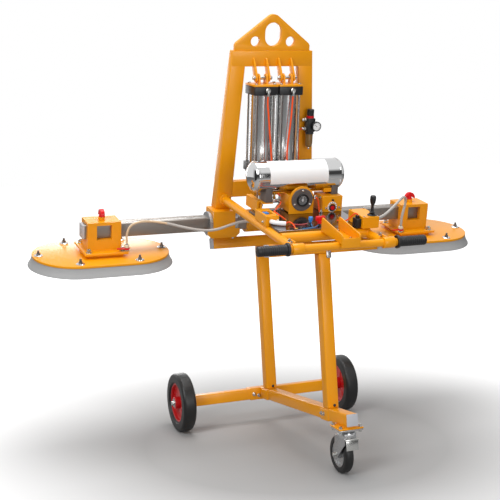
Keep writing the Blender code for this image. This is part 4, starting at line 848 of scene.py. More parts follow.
@dataclass
class Caster(Assembly):
    """Braked swivel caster in its swivel's frame, which stands on the floor."""

    width: float = 0.038
    radius: float = 0.076
    rim: float = 0.050
    trail: float = 0.044
    crown: float = 0.156
    hinge: tuple = (-0.0423, 0.156)

    def build(self) -> None:
        """Build the top plate, the fork, the wheel and the brake plate."""
        self.build_top()
        self.build_fork()
        self.build_wheel()
        self.build_brake()

    def build_top(self) -> None:
        """Build the top plate with its bolts and the upper race."""
        plate_low = 0.190
        self.add("caster_mount", CASTER_ZINC, ROOT, ["caster_top_plate"],
                 box((-0.052, -0.043, plate_low), (0.052, 0.043, 0.196), 0.002),
                 lathe([(0.0, plate_low - 0.010), (0.030, plate_low - 0.010),
                        (0.034, plate_low - 0.006), (0.036, plate_low + 0.002),
                        (0.0, plate_low + 0.002)], 64))
        bolts = [bolt((x, y, z), (0, 0, way), 0.0065, 0.009)
                 for z, way in ((plate_low, -1), (0.2023, 1)) for x in (-0.042, 0.042)
                 for y in (-0.032, 0.032)]
        self.add("caster_mount_bolts", BRIGHT, ROOT, [], *bolts)

    def build_fork(self) -> None:
        """Build the swivelling fork with its race and the axle bolt."""
        outer, sheet = 0.028, 0.004
        crown = [box((-outer - 0.001, -0.037, self.crown),
                     (outer + 0.001, 0.052, self.crown + sheet), 0.0015),
                 lathe([(0.0, self.crown + 0.001), (0.037, self.crown + 0.001), (0.037, 0.170),
                        (0.034, 0.174), (0.033, 0.1794), (0.0, 0.1794)], 64)]
        outline = [(-0.036, self.crown + 0.002), (-0.036, self.crown - 0.020),
                   *arc((self.trail, self.radius), 0.018, 190, 350, 16),
                   (0.051, self.crown - 0.020), (0.051, self.crown + 0.002)]
        for x in (-outer, outer - sheet):
            crown.append(plate(outline, sheet, facing_side(x), 0.0012))
        self.add("caster_fork_sheet", CASTER_ZINC, "caster_fork_body", ["caster_fork"], *crown)
        self.add("caster_axle_bolt", BRIGHT, "caster_fork_body", [],
                 round_bar((-outer - 0.006, self.trail, self.radius),
                           (outer + 0.006, self.trail, self.radius), 0.006),
                 bolt((-outer, self.trail, self.radius), (-1, 0, 0), 0.008, 0.011),
                 bolt((outer, self.trail, self.radius), ALONG_X, 0.008, 0.011))

    def build_wheel(self) -> None:
        """Build the tyre and its pressed rim."""
        body, half = "caster_wheel", self.width / 2
        middle = (0, self.trail, self.radius)
        tread = arc((self.radius - 0.012, half - 0.012), 0.012, 90, 0, 8)
        tread += arc((self.radius - 0.012, -half + 0.012), 0.012, 0, -90, 8)
        self.add("caster_wheel_tyre", TYRE, body, ["caster_tyre"],
                 lathe([(self.rim + GAP, half - 0.002), (self.rim + 0.003, half), *tread,
                        (self.rim + 0.003, -half), (self.rim + GAP, -half + 0.002)],
                       80, middle, ALONG_X, closed=True))
        dish = [(0.0065, 0.0235), (0.015, 0.0235), (0.016, 0.0225), (0.017, 0.007),
                (self.rim - 0.012, 0.005), (self.rim - 0.008, 0.007),
                (self.rim - 0.006, half - 0.004), (self.rim, half - 0.003)]
        self.add("caster_wheel_rim", CASTER_ZINC, body, ["caster_rim"],
                 lathe([*dish, *mirrored(dish)], 80, middle, ALONG_X, closed=True))

    def build_brake(self) -> None:
        """Build the bent brake plate that hangs from a hinge at the fork's front."""
        y, z = self.hinge
        outline = [(y, z + 0.003), (y - 0.003, z + 0.003), (y - 0.0093, z - 0.040),
                   (y - 0.0075, z - 0.040), (y, z - 0.003)]
        self.add("brake_plate", BRIGHT, "brake_pedal", ["caster_brake_pedal"],
                 plate(outline, 0.052, facing_side(-0.026), 0.0006),
                 round_bar((-0.028, y, z), (0.028, y, z), 0.005, rounding=0.001))


@dataclass
class Mast(Assembly):
    """A-shaped mast with its pivot housings and the plate that it is lifted by."""

    front: float = -0.006
    top: float = 0.848
    beam_height: float = 0.067
    foot: tuple = (0.163, 0.232, 0.060)
    head: tuple = (0.120, 0.187, 0.032)
    lug_offset: float = 0.029

    def build(self) -> None:
        """Build the uprights, the tie, the lugs, the housings and the lifting plate."""
        self.build_frame()
        self.build_plate()
        for side in Side:
            self.build_housing(side)

    def build_frame(self) -> None:
        """Build the uprights, the top beam and the tie, and the lugs that carry the cylinders."""
        inner, outer, depth = self.head
        front = self.front + GAP
        solids = [box((-outer, self.front, self.top - self.beam_height),
                      (outer, self.front + depth, self.top), 0.003),
                  box((-self.foot[0], self.front + 0.002, 0.210),
                      (self.foot[0], self.front + 0.040, 0.280), 0.003)]
        for side in Side:
            foot = sorted(side.sign * x for x in self.foot[:2])
            head = sorted((side.sign * inner, side.sign * (outer - GAP)))
            solids.append(tapered((*foot, front, self.front + self.foot[2], 0.1603),
                                  (*head, front, self.front + depth - GAP, self.top - GAP), 0.003))
            for offset in (-self.lug_offset, self.lug_offset):
                outline = link(CYLINDER_PIN, 0.018,
                               (self.front + 0.004, CYLINDER_PIN[1] + 0.067), 0.014)
                lug = facing_side(side.sign * CYLINDER_X + offset - 0.004)
                solids.append(plate(outline, 0.008, lug, 0.001))
        self.add("mast", PAINT, ROOT, ["mast_frame"], *solids)
        pins = []
        for side in Side:
            middle, (y, z) = side.sign * CYLINDER_X, CYLINDER_PIN
            pins.append(round_bar((middle - 0.038, y, z), (middle + 0.038, y, z), 0.008,
                                  rounding=0.001))
            for end in (-1, 1):
                pins.append(bolt((middle + end * 0.033, y, z), (end, 0, 0), 0.0085, 0.011))
        self.add("cylinder_pins", BRIGHT, ROOT, [], *pins)

    def build_plate(self) -> None:
        """Build the plate with the hook hole and the two shackle holes."""
        half, shoulder, height = 0.173, 0.028, 0.152
        outline = [(-half, 0), (half, 0), (half, shoulder - 0.006),
                   (half - 0.006, shoulder + 0.004), *arc((0, height - 0.034), 0.034, 50, 130, 24),
                   (-half + 0.006, shoulder + 0.004), (-half, shoulder - 0.006)]
        hook = arc((0, 0.080), 0.0375, 0, 180, 32) + arc((0, 0.056), 0.0375, 180, 360, 32)
        drop = Matrix.Translation((0, 0, -0.010))
        cutters = [plate(hook, 0.040, drop)]
        cutters += [round_bar((x, 0.038, -0.010), (x, 0.038, 0.030), 0.021, sides=64)
                    for x in (-0.081, 0.081)]
        place = Matrix.Translation((0, 0, self.top + GAP)) @ facing_front(0.018)
        lifting = plate(outline, 0.020, place, 0.0018, cutters)
        self.add("hook_plate", PAINT, ROOT, ["lifting_plate"], lifting)

    def build_housing(self, side: Side) -> None:
        """Build one split block that the crossbar turns in, with its bolts."""
        middle, depth = side.sign * HOUSING_X, 0.100
        low, split, high = 0.040, 0.084, 0.160
        half, rise = 0.074, 0.018
        foot = [(-half, low + rise), (-half + rise, low), (half - rise, low), (half, low + rise),
                (half, split), (-half, split)]
        body = [box((middle - 0.051, -depth / 2, split), (middle + 0.051, depth / 2, high)),
                plate(foot, depth, Matrix.Translation((middle, 0, 0)) @ facing_front(depth / 2))]
        for solid in body:
            bore = round_bar((middle - half - 0.01, 0, BAR_HEIGHT),
                             (middle + half + 0.01, 0, BAR_HEIGHT), 0.030, sides=64)
            collars = [round_bar((middle + face * 0.051, 0, BAR_HEIGHT),
                                 (middle + face * 0.155, 0, BAR_HEIGHT), 0.053, sides=64)
                       for face in (-1, 1)]
            carve(solid, [bore, *collars])
            soften(solid, 0.002)
        name = f"{side.word}_pivot_housing"
        self.add(f"{name}_block", PAINT, ROOT, [name], *body)
        ends = [bolt((middle + x, y, low), (0, 0, -1), 0.0065, 0.010)
                for x in (-0.048, 0.048) for y in (-0.034, 0.034)]
        self.add(f"{name}_bolts", BRIGHT, ROOT, [], *ends)


@dataclass
class TiltBar(Assembly):
    """Crossbar and yoke, in the frame of the tilt axis."""

    half: float = 0.030
    end: float = 0.830
    start: float = 0.154
    stop: float = 0.256
    holes: tuple = (-0.533, -0.331, 0.500)

    def build(self) -> None:
        """Build the bar, its collars and the yoke with its two cranks."""
        spans = [(-self.end + 0.002, -self.stop), (-self.start, self.start),
                 (self.stop, self.end - 0.002)]
        bars = []
        for low, high in spans:
            bar = box((low, -self.half, -self.half), (high, self.half, self.half), 0.004)
            holes = [round_bar((x, 0, self.half - 0.012), (x, 0, self.half + 0.010), 0.0065)
                     for x in self.holes if low < x < high]
            bars.append(carve(bar, holes))
        bars += [round_bar((side.sign * (self.start - 0.004), 0, 0),
                           (side.sign * (self.stop + 0.004), 0, 0), 0.0295, sides=72)
                 for side in Side]
        self.add("crossbar_tube", ZINC, "pad_frame", ["crossbar"], *bars)
        collars, caps = [], []
        for side in Side:
            for face, outward in ((self.start - 0.0005, -1), (self.stop + 0.0005, 1)):
                origin = (side.sign * face, 0, 0)
                collars.append(lathe([(0.0305, 0), (0.051, 0), (0.052, 0.001), (0.052, 0.013),
                                      (0.051, 0.014), (0.0305, 0.014)],
                                     72, origin, (side.sign * outward, 0, 0), True))
            caps.append(box((side.sign * (self.end - 0.010), -self.half - GAP, -self.half - GAP),
                            (side.sign * self.end, self.half + GAP, self.half + GAP), 0.003))
        self.add("crossbar_collars", CASTER_ZINC, "pad_frame", [], *collars)
        self.add("crossbar_end_caps", CAP_GREY, "pad_frame", [], *caps)
        eye = (-CRANK_RADIUS * math.cos(CRANK_ANGLE), CRANK_RADIUS * math.sin(CRANK_ANGLE))
        yoke = [round_bar((-0.092, 0, 0), (0.092, 0, 0), 0.050, sides=80)]
        for side in Side:
            outline = link((0, 0), 0.038, eye, 0.020)
            yoke.append(plate(outline, 0.012, facing_side(side.sign * CYLINDER_X - 0.006), 0.0015))
        for solid in yoke:
            reach = self.half + GAP
            carve(solid, [box((-0.2, -reach, -reach), (0.2, reach, reach))])
        soften(yoke[0], 0.0015)
        self.add("yoke", PAINT, "pad_frame", ["tilt_yoke"], *yoke)


@dataclass
class Cylinder(Assembly):
    """Air cylinder hung from its pin, in the pin's own leaning frame."""

    side: Side
    half: float = 0.0545
    head_top: float = -0.033
    head_low: float = -0.070
    base_top: float = -0.362
    base_low: float = -0.399
    rod_pitch: float = 0.042
    eye: float = -0.5541165

    def build(self) -> None:
        """Build the caps, the barrel with its tie rods, and the rod with its fork."""
        word = self.side.word
        body = f"{word}_cylinder"
        caps = [box((-self.half, -self.half, low), (self.half, self.half, high), 0.003)
                for low, high in ((self.head_low, self.head_top - GAP),
                                  (self.base_low, self.base_top))]
        carve(caps[1], [round_bar((0, 0, -0.42), (0, 0, -0.35), 0.013)])
        self.add(f"{body}_black_caps", ANODISED, body, [f"{body}_caps"], *caps)
        head = [box((-self.half, -self.half, self.head_top),
                    (self.half, self.half, self.head_top + 0.008), 0.001)]
        for offset in (-0.018, 0.018):
            outline = link((0, 0), 0.018, (0, self.head_top + 0.006), 0.022)
            hole = round_bar((0, 0, -0.01), (0, 0, 0.02), 0.0085)
            head.append(plate(outline, 0.008, facing_side(offset - 0.004), 0.001, [hole]))
        self.add(f"{body}_head_plate", PAINT, body, [], *head)
        barrel = [(0.043, self.head_low - GAP), (0.046, self.head_low - GAP),
                  (0.046, self.base_top + GAP), (0.043, self.base_top + GAP)]
        self.add(f"{body}_tube", GROUND, body, [f"{body}_barrel"], lathe(barrel, 96, closed=True))
        rods = []
        for x in (-self.rod_pitch, self.rod_pitch):
            for y in (-self.rod_pitch, self.rod_pitch):
                rods += [round_bar((x, y, self.base_top - 0.005), (x, y, self.head_low + 0.005),
                                   0.005),
                         bolt((x, y, self.base_low), (0, 0, -1), 0.0065),
                         round_bar((x, y, self.head_top + 0.008), (x, y, self.head_top + 0.013),
                                   0.007, rounding=0.001)]
        self.add(f"{body}_tie_rods", BRIGHT, body, [], *rods)
        port = -self.half
        self.add(f"{body}_fitting", BRIGHT, body, [],
                 round_bar((0.003, port, -0.048), (0.003, port - 0.014, -0.048), 0.011,
                           rounding=0.001),
                 round_bar((0.003, port - 0.008, -0.048), (0.003, port - 0.020, -0.050), 0.008),
                 round_bar((0.003, port - 0.014, -0.048), (0.003, port - 0.014, -0.072), 0.0068,
                           rounding=0.001))
        self.build_rod(word)

    def build_rod(self, word: str) -> None:
        """Build the chromed rod with its piston and the fork that holds the crank's pin."""
        root = self.eye + 0.060
        piston = self.head_low - 0.006
        solids = [round_bar((0, 0, piston), (0, 0, piston - 0.020), 0.0425, sides=96),
                  round_bar((0, 0, piston - 0.005), (0, 0, root + 0.010), 0.0125, sides=48),
                  box((-0.0145, -0.014, root), (0.0145, 0.014, root + 0.020), 0.001),
                  round_bar((0, 0, root + 0.020), (0, 0, root + 0.030), 0.018, sides=HEX,
                            rounding=0.0008)]
        for side in Side:
            outline = link((0, self.eye), 0.016, (0, root + 0.005), 0.014)
            solids.append(plate(outline, 0.008, facing_side(side.sign * 0.0105 - 0.004), 0.001))
            solids.append(bolt((side.sign * 0.0145, 0, self.eye), (side.sign, 0, 0), 0.006))
        rod = f"{word}_cylinder_rod"
        self.add(f"{word}_piston_rod", BRIGHT, rod, [rod], *solids)


@dataclass
class SuctionPad(Assembly):
    """Suction pad hung from the crossbar, in the frame of its plate's top."""

    side: Side
    half_length: float = 0.293
    radius: float = 0.185
    sheet: float = 0.010
    flange_top: float = 0.0223
    port: tuple = (0.086, -0.090)

    def build(self) -> None:
        """Build the slide, the plate, the lip, the clamp knob and the shut-off lever."""
        self.build_slide()
        self.build_plate()
        self.build_lip()
        self.build_knob()
        self.build_lever()

    @property
    def body(self) -> str:
        """The pad's body."""
        return f"{self.side.word}_pad"

    def build_slide(self) -> None:
        """Build the box round the crossbar with its flange and spacer."""
        sleeve = box((-0.072, -0.053, self.flange_top - 0.002), (0.072, 0.053, 0.142))
        tunnel = box((-0.1, -0.0305, 0.0675), (0.1, 0.0305, 0.1285))
        window = box((-0.0320, -0.1, 0.067), (0.0320, 0.0, 0.129))
        soften(carve(sleeve, [tunnel, window]), 0.0018)
        self.add(f"{self.body}_sleeve", PAINT, self.body, [f"{self.side.word}_slide"], sleeve,
                 box((-0.0925, -0.100, 0.0123), (0.0925, 0.100, self.flange_top), 0.0015),
                 box((-0.075, -0.080, GAP), (0.075, 0.080, 0.0133), 0.001),
                 round_bar((0, 0, 0.138), (0, 0, 0.154), 0.0145, sides=48, rounding=0.001))
        bolts = [bolt((x, y, self.flange_top), UP, 0.0100, 0.0135, 0.004)
                 for x in (-0.072, 0.072) for y in (-0.076, 0.076)]
        self.add(f"{self.body}_flange_nuts", BRIGHT, self.body, [], *bolts)
        x, y = -self.side.sign * self.port[0], self.port[1]
        self.add(f"{self.body}_port", BRIGHT, self.body, [],
                 round_bar((x, y, self.flange_top - 0.002), (x, y, 0.0480), 0.0078, rounding=0.001),
                 round_bar((x, y, self.flange_top), (x, y, self.flange_top + 0.009), 0.0115,
                           sides=HEX, rounding=0.0006),
                 round_bar((x, y, 0.0480), (x, y, 0.0563), 0.0060, rounding=0.001))
        self.add(f"{self.body}_port_nut", CREAM, self.body, [],
                 lathe([(0.0080, 0.0395), (0.0100, 0.0395), (0.0106, 0.0405), (0.0106, 0.0495),
                        (0.0090, 0.0520), (0.0065, 0.0520), (0.0065, 0.0485), (0.0080, 0.0485)],
                       48, (x, y, 0), closed=True))

    def build_plate(self) -> None:
        """Build the pad's plate and its studs with big washers."""
        self.add(f"{self.body}_disc", PAINT, self.body, [f"{self.side.word}_pad_plate"],
                 plate(stadium(self.half_length, self.radius, 48), self.sheet,
                       Matrix.Translation((0, 0, -self.sheet)), 0.0015))
        spots = [(x, y) for x in (-0.126, 0.126) for y in (-0.152, 0.152)]
        spots += [(-0.268, 0), (0.268, 0)]
        dish = [(0, 0), (0.019, 0), (0.019, 0.0015), (0.016, 0.004), (0, 0.004)]
        washers, studs = [], []
        for x, y in spots:
            washers.append(lathe(dish, 48, (x, y, GAP)))
            studs.append(bolt((x, y, 0.004), UP, 0.0085, 0.0, 0.010))
        self.add(f"{self.body}_washers", CHROME, self.body, [], *washers)
        self.add(f"{self.body}_studs", DULL_STEEL, self.body, [], *studs)

    def build_lip(self) -> None:
        """Build the rubber lip by sweeping its section round the plate's outline."""
        top, low = -self.sheet - GAP, -self.sheet - GAP - 0.040
        section = [(0.0, top), (0.030, top), (0.0295, top - 0.004), (0.024, low + 0.012),
                   (0.004, low), (-0.013, low), (-0.017, low + 0.0015), (-0.0165, low + 0.004),
                   (-0.010, low + 0.013), (-0.0045, low + 0.024), (-0.001, top - 0.006),
                   (-0.0002, top - 0.002)]
        profile = self.outline_curve("lip section", section)
        path = self.outline_curve("lip path", stadium(self.half_length, self.radius, 48))
        path.data.bevel_mode = "OBJECT"
        path.data.bevel_object = profile
        select_only(path)
        bpy.ops.object.convert(target="MESH")
        lip = bpy.context.object
        bpy.data.objects.remove(profile, do_unlink=True)
        bpy.ops.object.mode_set(mode="EDIT")
        close_mesh()
        self.add(f"{self.body}_lip", LIP, self.body, [f"{self.side.word}_pad_seal"],
                 soften(lip, 0.0))

    @staticmethod
    def outline_curve(name: str, points: Sequence[Point]) -> bpy.types.Object:
        """Draw a closed outline as a curve.

        Args:
            name: Its name.
            points: Its (x, y) points.

        Returns:
            The curve object.
        """
        curve = bpy.data.curves.new(name, "CURVE")
        curve.dimensions = "2D"
        curve.fill_mode = "NONE"
        spline = curve.splines.new("POLY")
        spline.points.add(len(points) - 1)
        for point, (x, y) in zip(spline.points, points):
            point.co = (x, y, 0.0, 1.0)
        spline.use_cyclic_u = True
        shape = bpy.data.objects.new(name, curve)
        bpy.context.scene.collection.objects.link(shape)
        return shape

    def build_knob(self) -> None:
        """Build the drooping T-handle of the clamp screw."""
        top, reach = 0.1543, 0.0270
        wing = [*arc((0, top + 0.0080), 0.0250, 0, 180, 24), (-reach + 0.001, top + 0.0045),
                (-reach + 0.005, top + 0.0035), (-0.0160, top + 0.0090),
                *arc((0, top + 0.0100), 0.0110, 160, 20, 8),
                (0.0160, top + 0.0090), (reach - 0.005, top + 0.0035),
                (reach - 0.001, top + 0.0045)]
        turn = Matrix.Rotation(math.radians(90 if self.side is Side.LEFT else 0), 4, "Z")
        solids = [move(plate(wing, 0.018, facing_front(0.009), 0.004), turn),
                  round_bar((0, 0, top), (0, 0, top + 0.006), 0.0120, rounding=0.001),
                  round_bar((0, 0, top + 0.005), (0, 0, top + 0.026), 0.0105, 0.0085)]
        name = f"{self.side.word}_clamp_knob"
        self.add(f"{name}_grip", RED, name, [name], *solids)

    def build_lever(self) -> None:
        """Build the small lever that shuts the hose port."""
        x, y, low = -self.side.sign * self.port[0], self.port[1], self.flange_top + 0.010
        ring = lathe([(0.0084, 0), (0.0130, 0), (0.0130, 0.006), (0.0084, 0.006)], 40, (x, y, low),
                     closed=True)
        name = f"{self.side.word}_shutoff_lever"
        self.add(f"{name}_arm", RED, name, [name], ring,
                 box((x - 0.042, y - 0.005, low + 0.0005),
                     (x - 0.0105, y + 0.005, low + 0.0055), 0.0015))


@dataclass
class HandleFrame(Assembly):
    """Tubes from the mast to the handle bar, the deck on them and the cradle over the bar."""

    tube_x: float = 0.192
    tube_z: float = 0.201
    tube_radius: float = 0.018
    front_y: float = -0.625
    front_z: float = 0.206
    bar_y: float = -0.784
    bar_z: float = 0.211
    grip_ribs: int = 12
    deck_low: float = 0.2193
    deck_top: float = 0.2293
    deck_back: float = -0.285
    port: tuple = (-0.120, -0.305)

    def build(self) -> None:
        """Build the tubes, the bar with its grips, the deck and the cradle."""
        self.build_tubes()
        self.build_bar()
        self.build_deck()
        self.build_cradle()

    def build_tubes(self) -> None:
        """Build the side tubes with their bosses, the cross tube and the plates at their joints."""
        start, end = -0.0063, self.bar_y + 0.0223
        solids = [round_bar((-self.tube_x, self.front_y, self.front_z),
                            (self.tube_x, self.front_y, self.front_z), 0.020, sides=64)]
        for side in Side:
            x, z = side.sign * self.tube_x, self.tube_z
            solids += [round_bar((x, start, z), (x, end, z), self.tube_radius, sides=64),
                       round_bar((x, start, z), (x, start - 0.010, z), 0.027, sides=64,
                                 rounding=0.001),
                       box((x - 0.003, self.bar_y + 0.026, z),
                           (x + 0.003, self.bar_y + 0.066, z + 0.030), 0.001)]
        self.add("handle_tubes", PAINT, ROOT, ["handle_frame"], *solids)
        bolts = []
        for side in Side:
            x = side.sign * (self.tube_x - 0.005 if side is Side.RIGHT else self.tube_x + 0.010)
            for shift, rise in ((-0.005, 0.0345), (0.009, 0.0245)):
                foot = (x + shift, self.bar_y + 0.046, self.tube_z + rise - 0.008)
                bolts.append(bolt(foot, UP, 0.006, 0.0085, 0.003))
        self.add("handle_bolts", BRIGHT, ROOT, [], *bolts)

    def build_bar(self) -> None:
        """Build the handle bar with its sleeves and the ribbed rubber grips."""
        y, z = self.bar_y, self.bar_z
        outer, inner = 0.358, 0.229
        profile = [(0, outer), (0.015, outer), (0.0185, outer - 0.0015), (0.020, outer - 0.006)]
        for index in range(self.grip_ribs):
            height = outer - 0.012 - index * 0.0085
            profile += [(0.020, height), (0.0190, height - 0.001), (0.0190, height - 0.002),
                        (0.020, height - 0.003)]
        profile += [(0.020, inner + 0.010), (0.0255, inner + 0.009), (0.026, inner + 0.007),
                    (0.026, inner + 0.001), (0.0255, inner), (0.0153, inner),
                    (0.0153, outer - 0.0077), (0, outer - 0.0077)]
        bar = [round_bar((-0.349, y, z), (0.349, y, z), 0.015, sides=56)]
        for side in Side:
            bar.append(round_bar((side.sign * 0.170, y, z), (side.sign * 0.217, y, z), 0.022,
                                 sides=64, rounding=0.0008))
            name = f"{side.word}_grip"
            self.add(f"{name}_rubber", GRIP, ROOT, [name],
                     lathe(profile, 64, (0, y, z), (side.sign, 0, 0)))
        self.add("handle_bar_tube", PAINT, ROOT, ["handle_bar"], *bar)

    def build_deck(self) -> None:
        """Build the polished deck plate with its cut-out, its hose port and the valve feet."""
        x, low, top = self.tube_x, self.deck_low, self.deck_top
        sheet = carve(box((-x, self.front_y + 0.0203, low), (x, self.deck_back, top)),
                      [box((-x - 0.01, -0.5075, low - 0.01), (-0.1475, -0.3855, top + 0.01))])
        solids = [soften(sheet, 0.001),
                  round_bar((*self.port, low - 0.020), (*self.port, low + 0.002), 0.0078),
                  round_bar((*self.port, low - 0.011), (*self.port, low), 0.012, sides=HEX)]
        for spot in (FLOW_KNOB, VENT_VALVE):
            solids.append(round_bar((*spot, top - 0.002), (*spot, top + 0.010), 0.005))
            solids.append(round_bar((*spot, top), (*spot, top + 0.005), 0.009, sides=HEX,
                                    rounding=0.0006))
        self.add("deck", DARK_DECK, ROOT, ["deck_plate"], *solids)

    def build_cradle(self) -> None:
        """Build the open cradle of bent sheet that the tool hook rests in."""
        floor, half, sheet = 0.2263, 0.0395, 0.005
        middle, back, front = 0.0155, -0.632, -0.816
        nose = front + sheet
        outline = [(back, floor), (back, floor + 0.053),
                   *arc((back - 0.005, floor + 0.051), 0.005, 20, 100, 5),
                   *arc((front + 0.007, floor + 0.029), 0.007, 95, 180, 6),
                   (front, floor - 0.016), (nose, floor - 0.016), (nose, floor)]
        left, right = middle - half + 0.001, middle + half - 0.001
        solids = [box((left, front + 0.001, floor + GAP), (right, back - 0.001, floor + sheet),
                      0.001),
                  box((left, front + GAP, floor - 0.0157), (right, nose, floor + 0.022), 0.001)]
        for x in (middle - half, middle + half - sheet):
            solids.append(plate(outline, sheet, facing_side(x), 0.001))
        self.add("cradle", PAINT, ROOT, ["tool_cradle"], *solids)
        self.add("cradle_screws", BRIGHT, ROOT, [],
                 *[bolt((middle + x, y, floor + sheet), UP, 0.005, 0.008)
                   for x in (-0.020, 0.020) for y in (-0.660, -0.770)])


@dataclass
class VacuumTank(Assembly):
    """Polished tank on a strap between two posts."""

    y: float = -0.310
    z: float = 0.3763
    radius: float = 0.064
    straight: float = 0.181
    dome: float = 0.032
    posts: tuple = ((-0.135, 0.2769), (0.162, 0.2979))

    def build(self) -> None:
        """Build the tank, its blank film, the strap and the posts."""
        quarter = [math.radians(5 * step) for step in range(19)]
        cap = [(self.radius * math.sin(turn), self.straight + self.dome * math.cos(turn))
               for turn in quarter]
        middle = (0, self.y, self.z)
        self.add("tank", CHROME, ROOT, ["vacuum_tank"],
                 lathe([*cap, *mirrored(cap)], 128, middle, ALONG_X))
        weld = [(self.radius - 0.0002, -0.002), (self.radius + 0.0008, -0.001),
                (self.radius + 0.0008, 0.001), (self.radius - 0.0002, 0.002)]
        self.add("tank_welds", CHROME, ROOT, [],
                 *[lathe(weld, 128, (x, self.y, self.z), ALONG_X, closed=True)
                   for x in (-self.straight, self.straight)])
        film = (arc((self.y, self.z), self.radius + 0.0005, 98, 199, 48)
                + arc((self.y, self.z), self.radius + 0.0002, 199, 98, 48))
        self.add("tank_film", WHITE, ROOT, [], plate(film, 0.261, facing_side(-0.138)))
        self.build_stand()

    def build_stand(self) -> None:
        """Build the strap and the two posts, hollowed to the tank."""
        strap_low = self.z - self.radius - 0.0053
        left, right = (post[0] for post in self.posts)
        strap = [box((left, self.y - 0.020, strap_low), (right, self.y + 0.020, strap_low + 0.005)),
                 box((right - 0.048, self.y - 0.046, strap_low + 0.001),
                     (right, self.y + 0.030, strap_low + 0.018))]
        posts = [box((x - 0.0145, self.y - 0.051, foot), (x + 0.0145, self.y + 0.010, self.z))
                 for x, foot in self.posts]
        for solid in (*strap, *posts):
            hollow = round_bar((-0.25, self.y, self.z), (0.25, self.y, self.z), self.radius + GAP,
                               sides=128)
            soften(carve(solid, [hollow]), 0.0008)
        self.add("tank_strap", PAINT, ROOT, [], *strap)
        self.add("tank_posts", GAUGE_GREY, ROOT, ["tank_stand"], *posts)


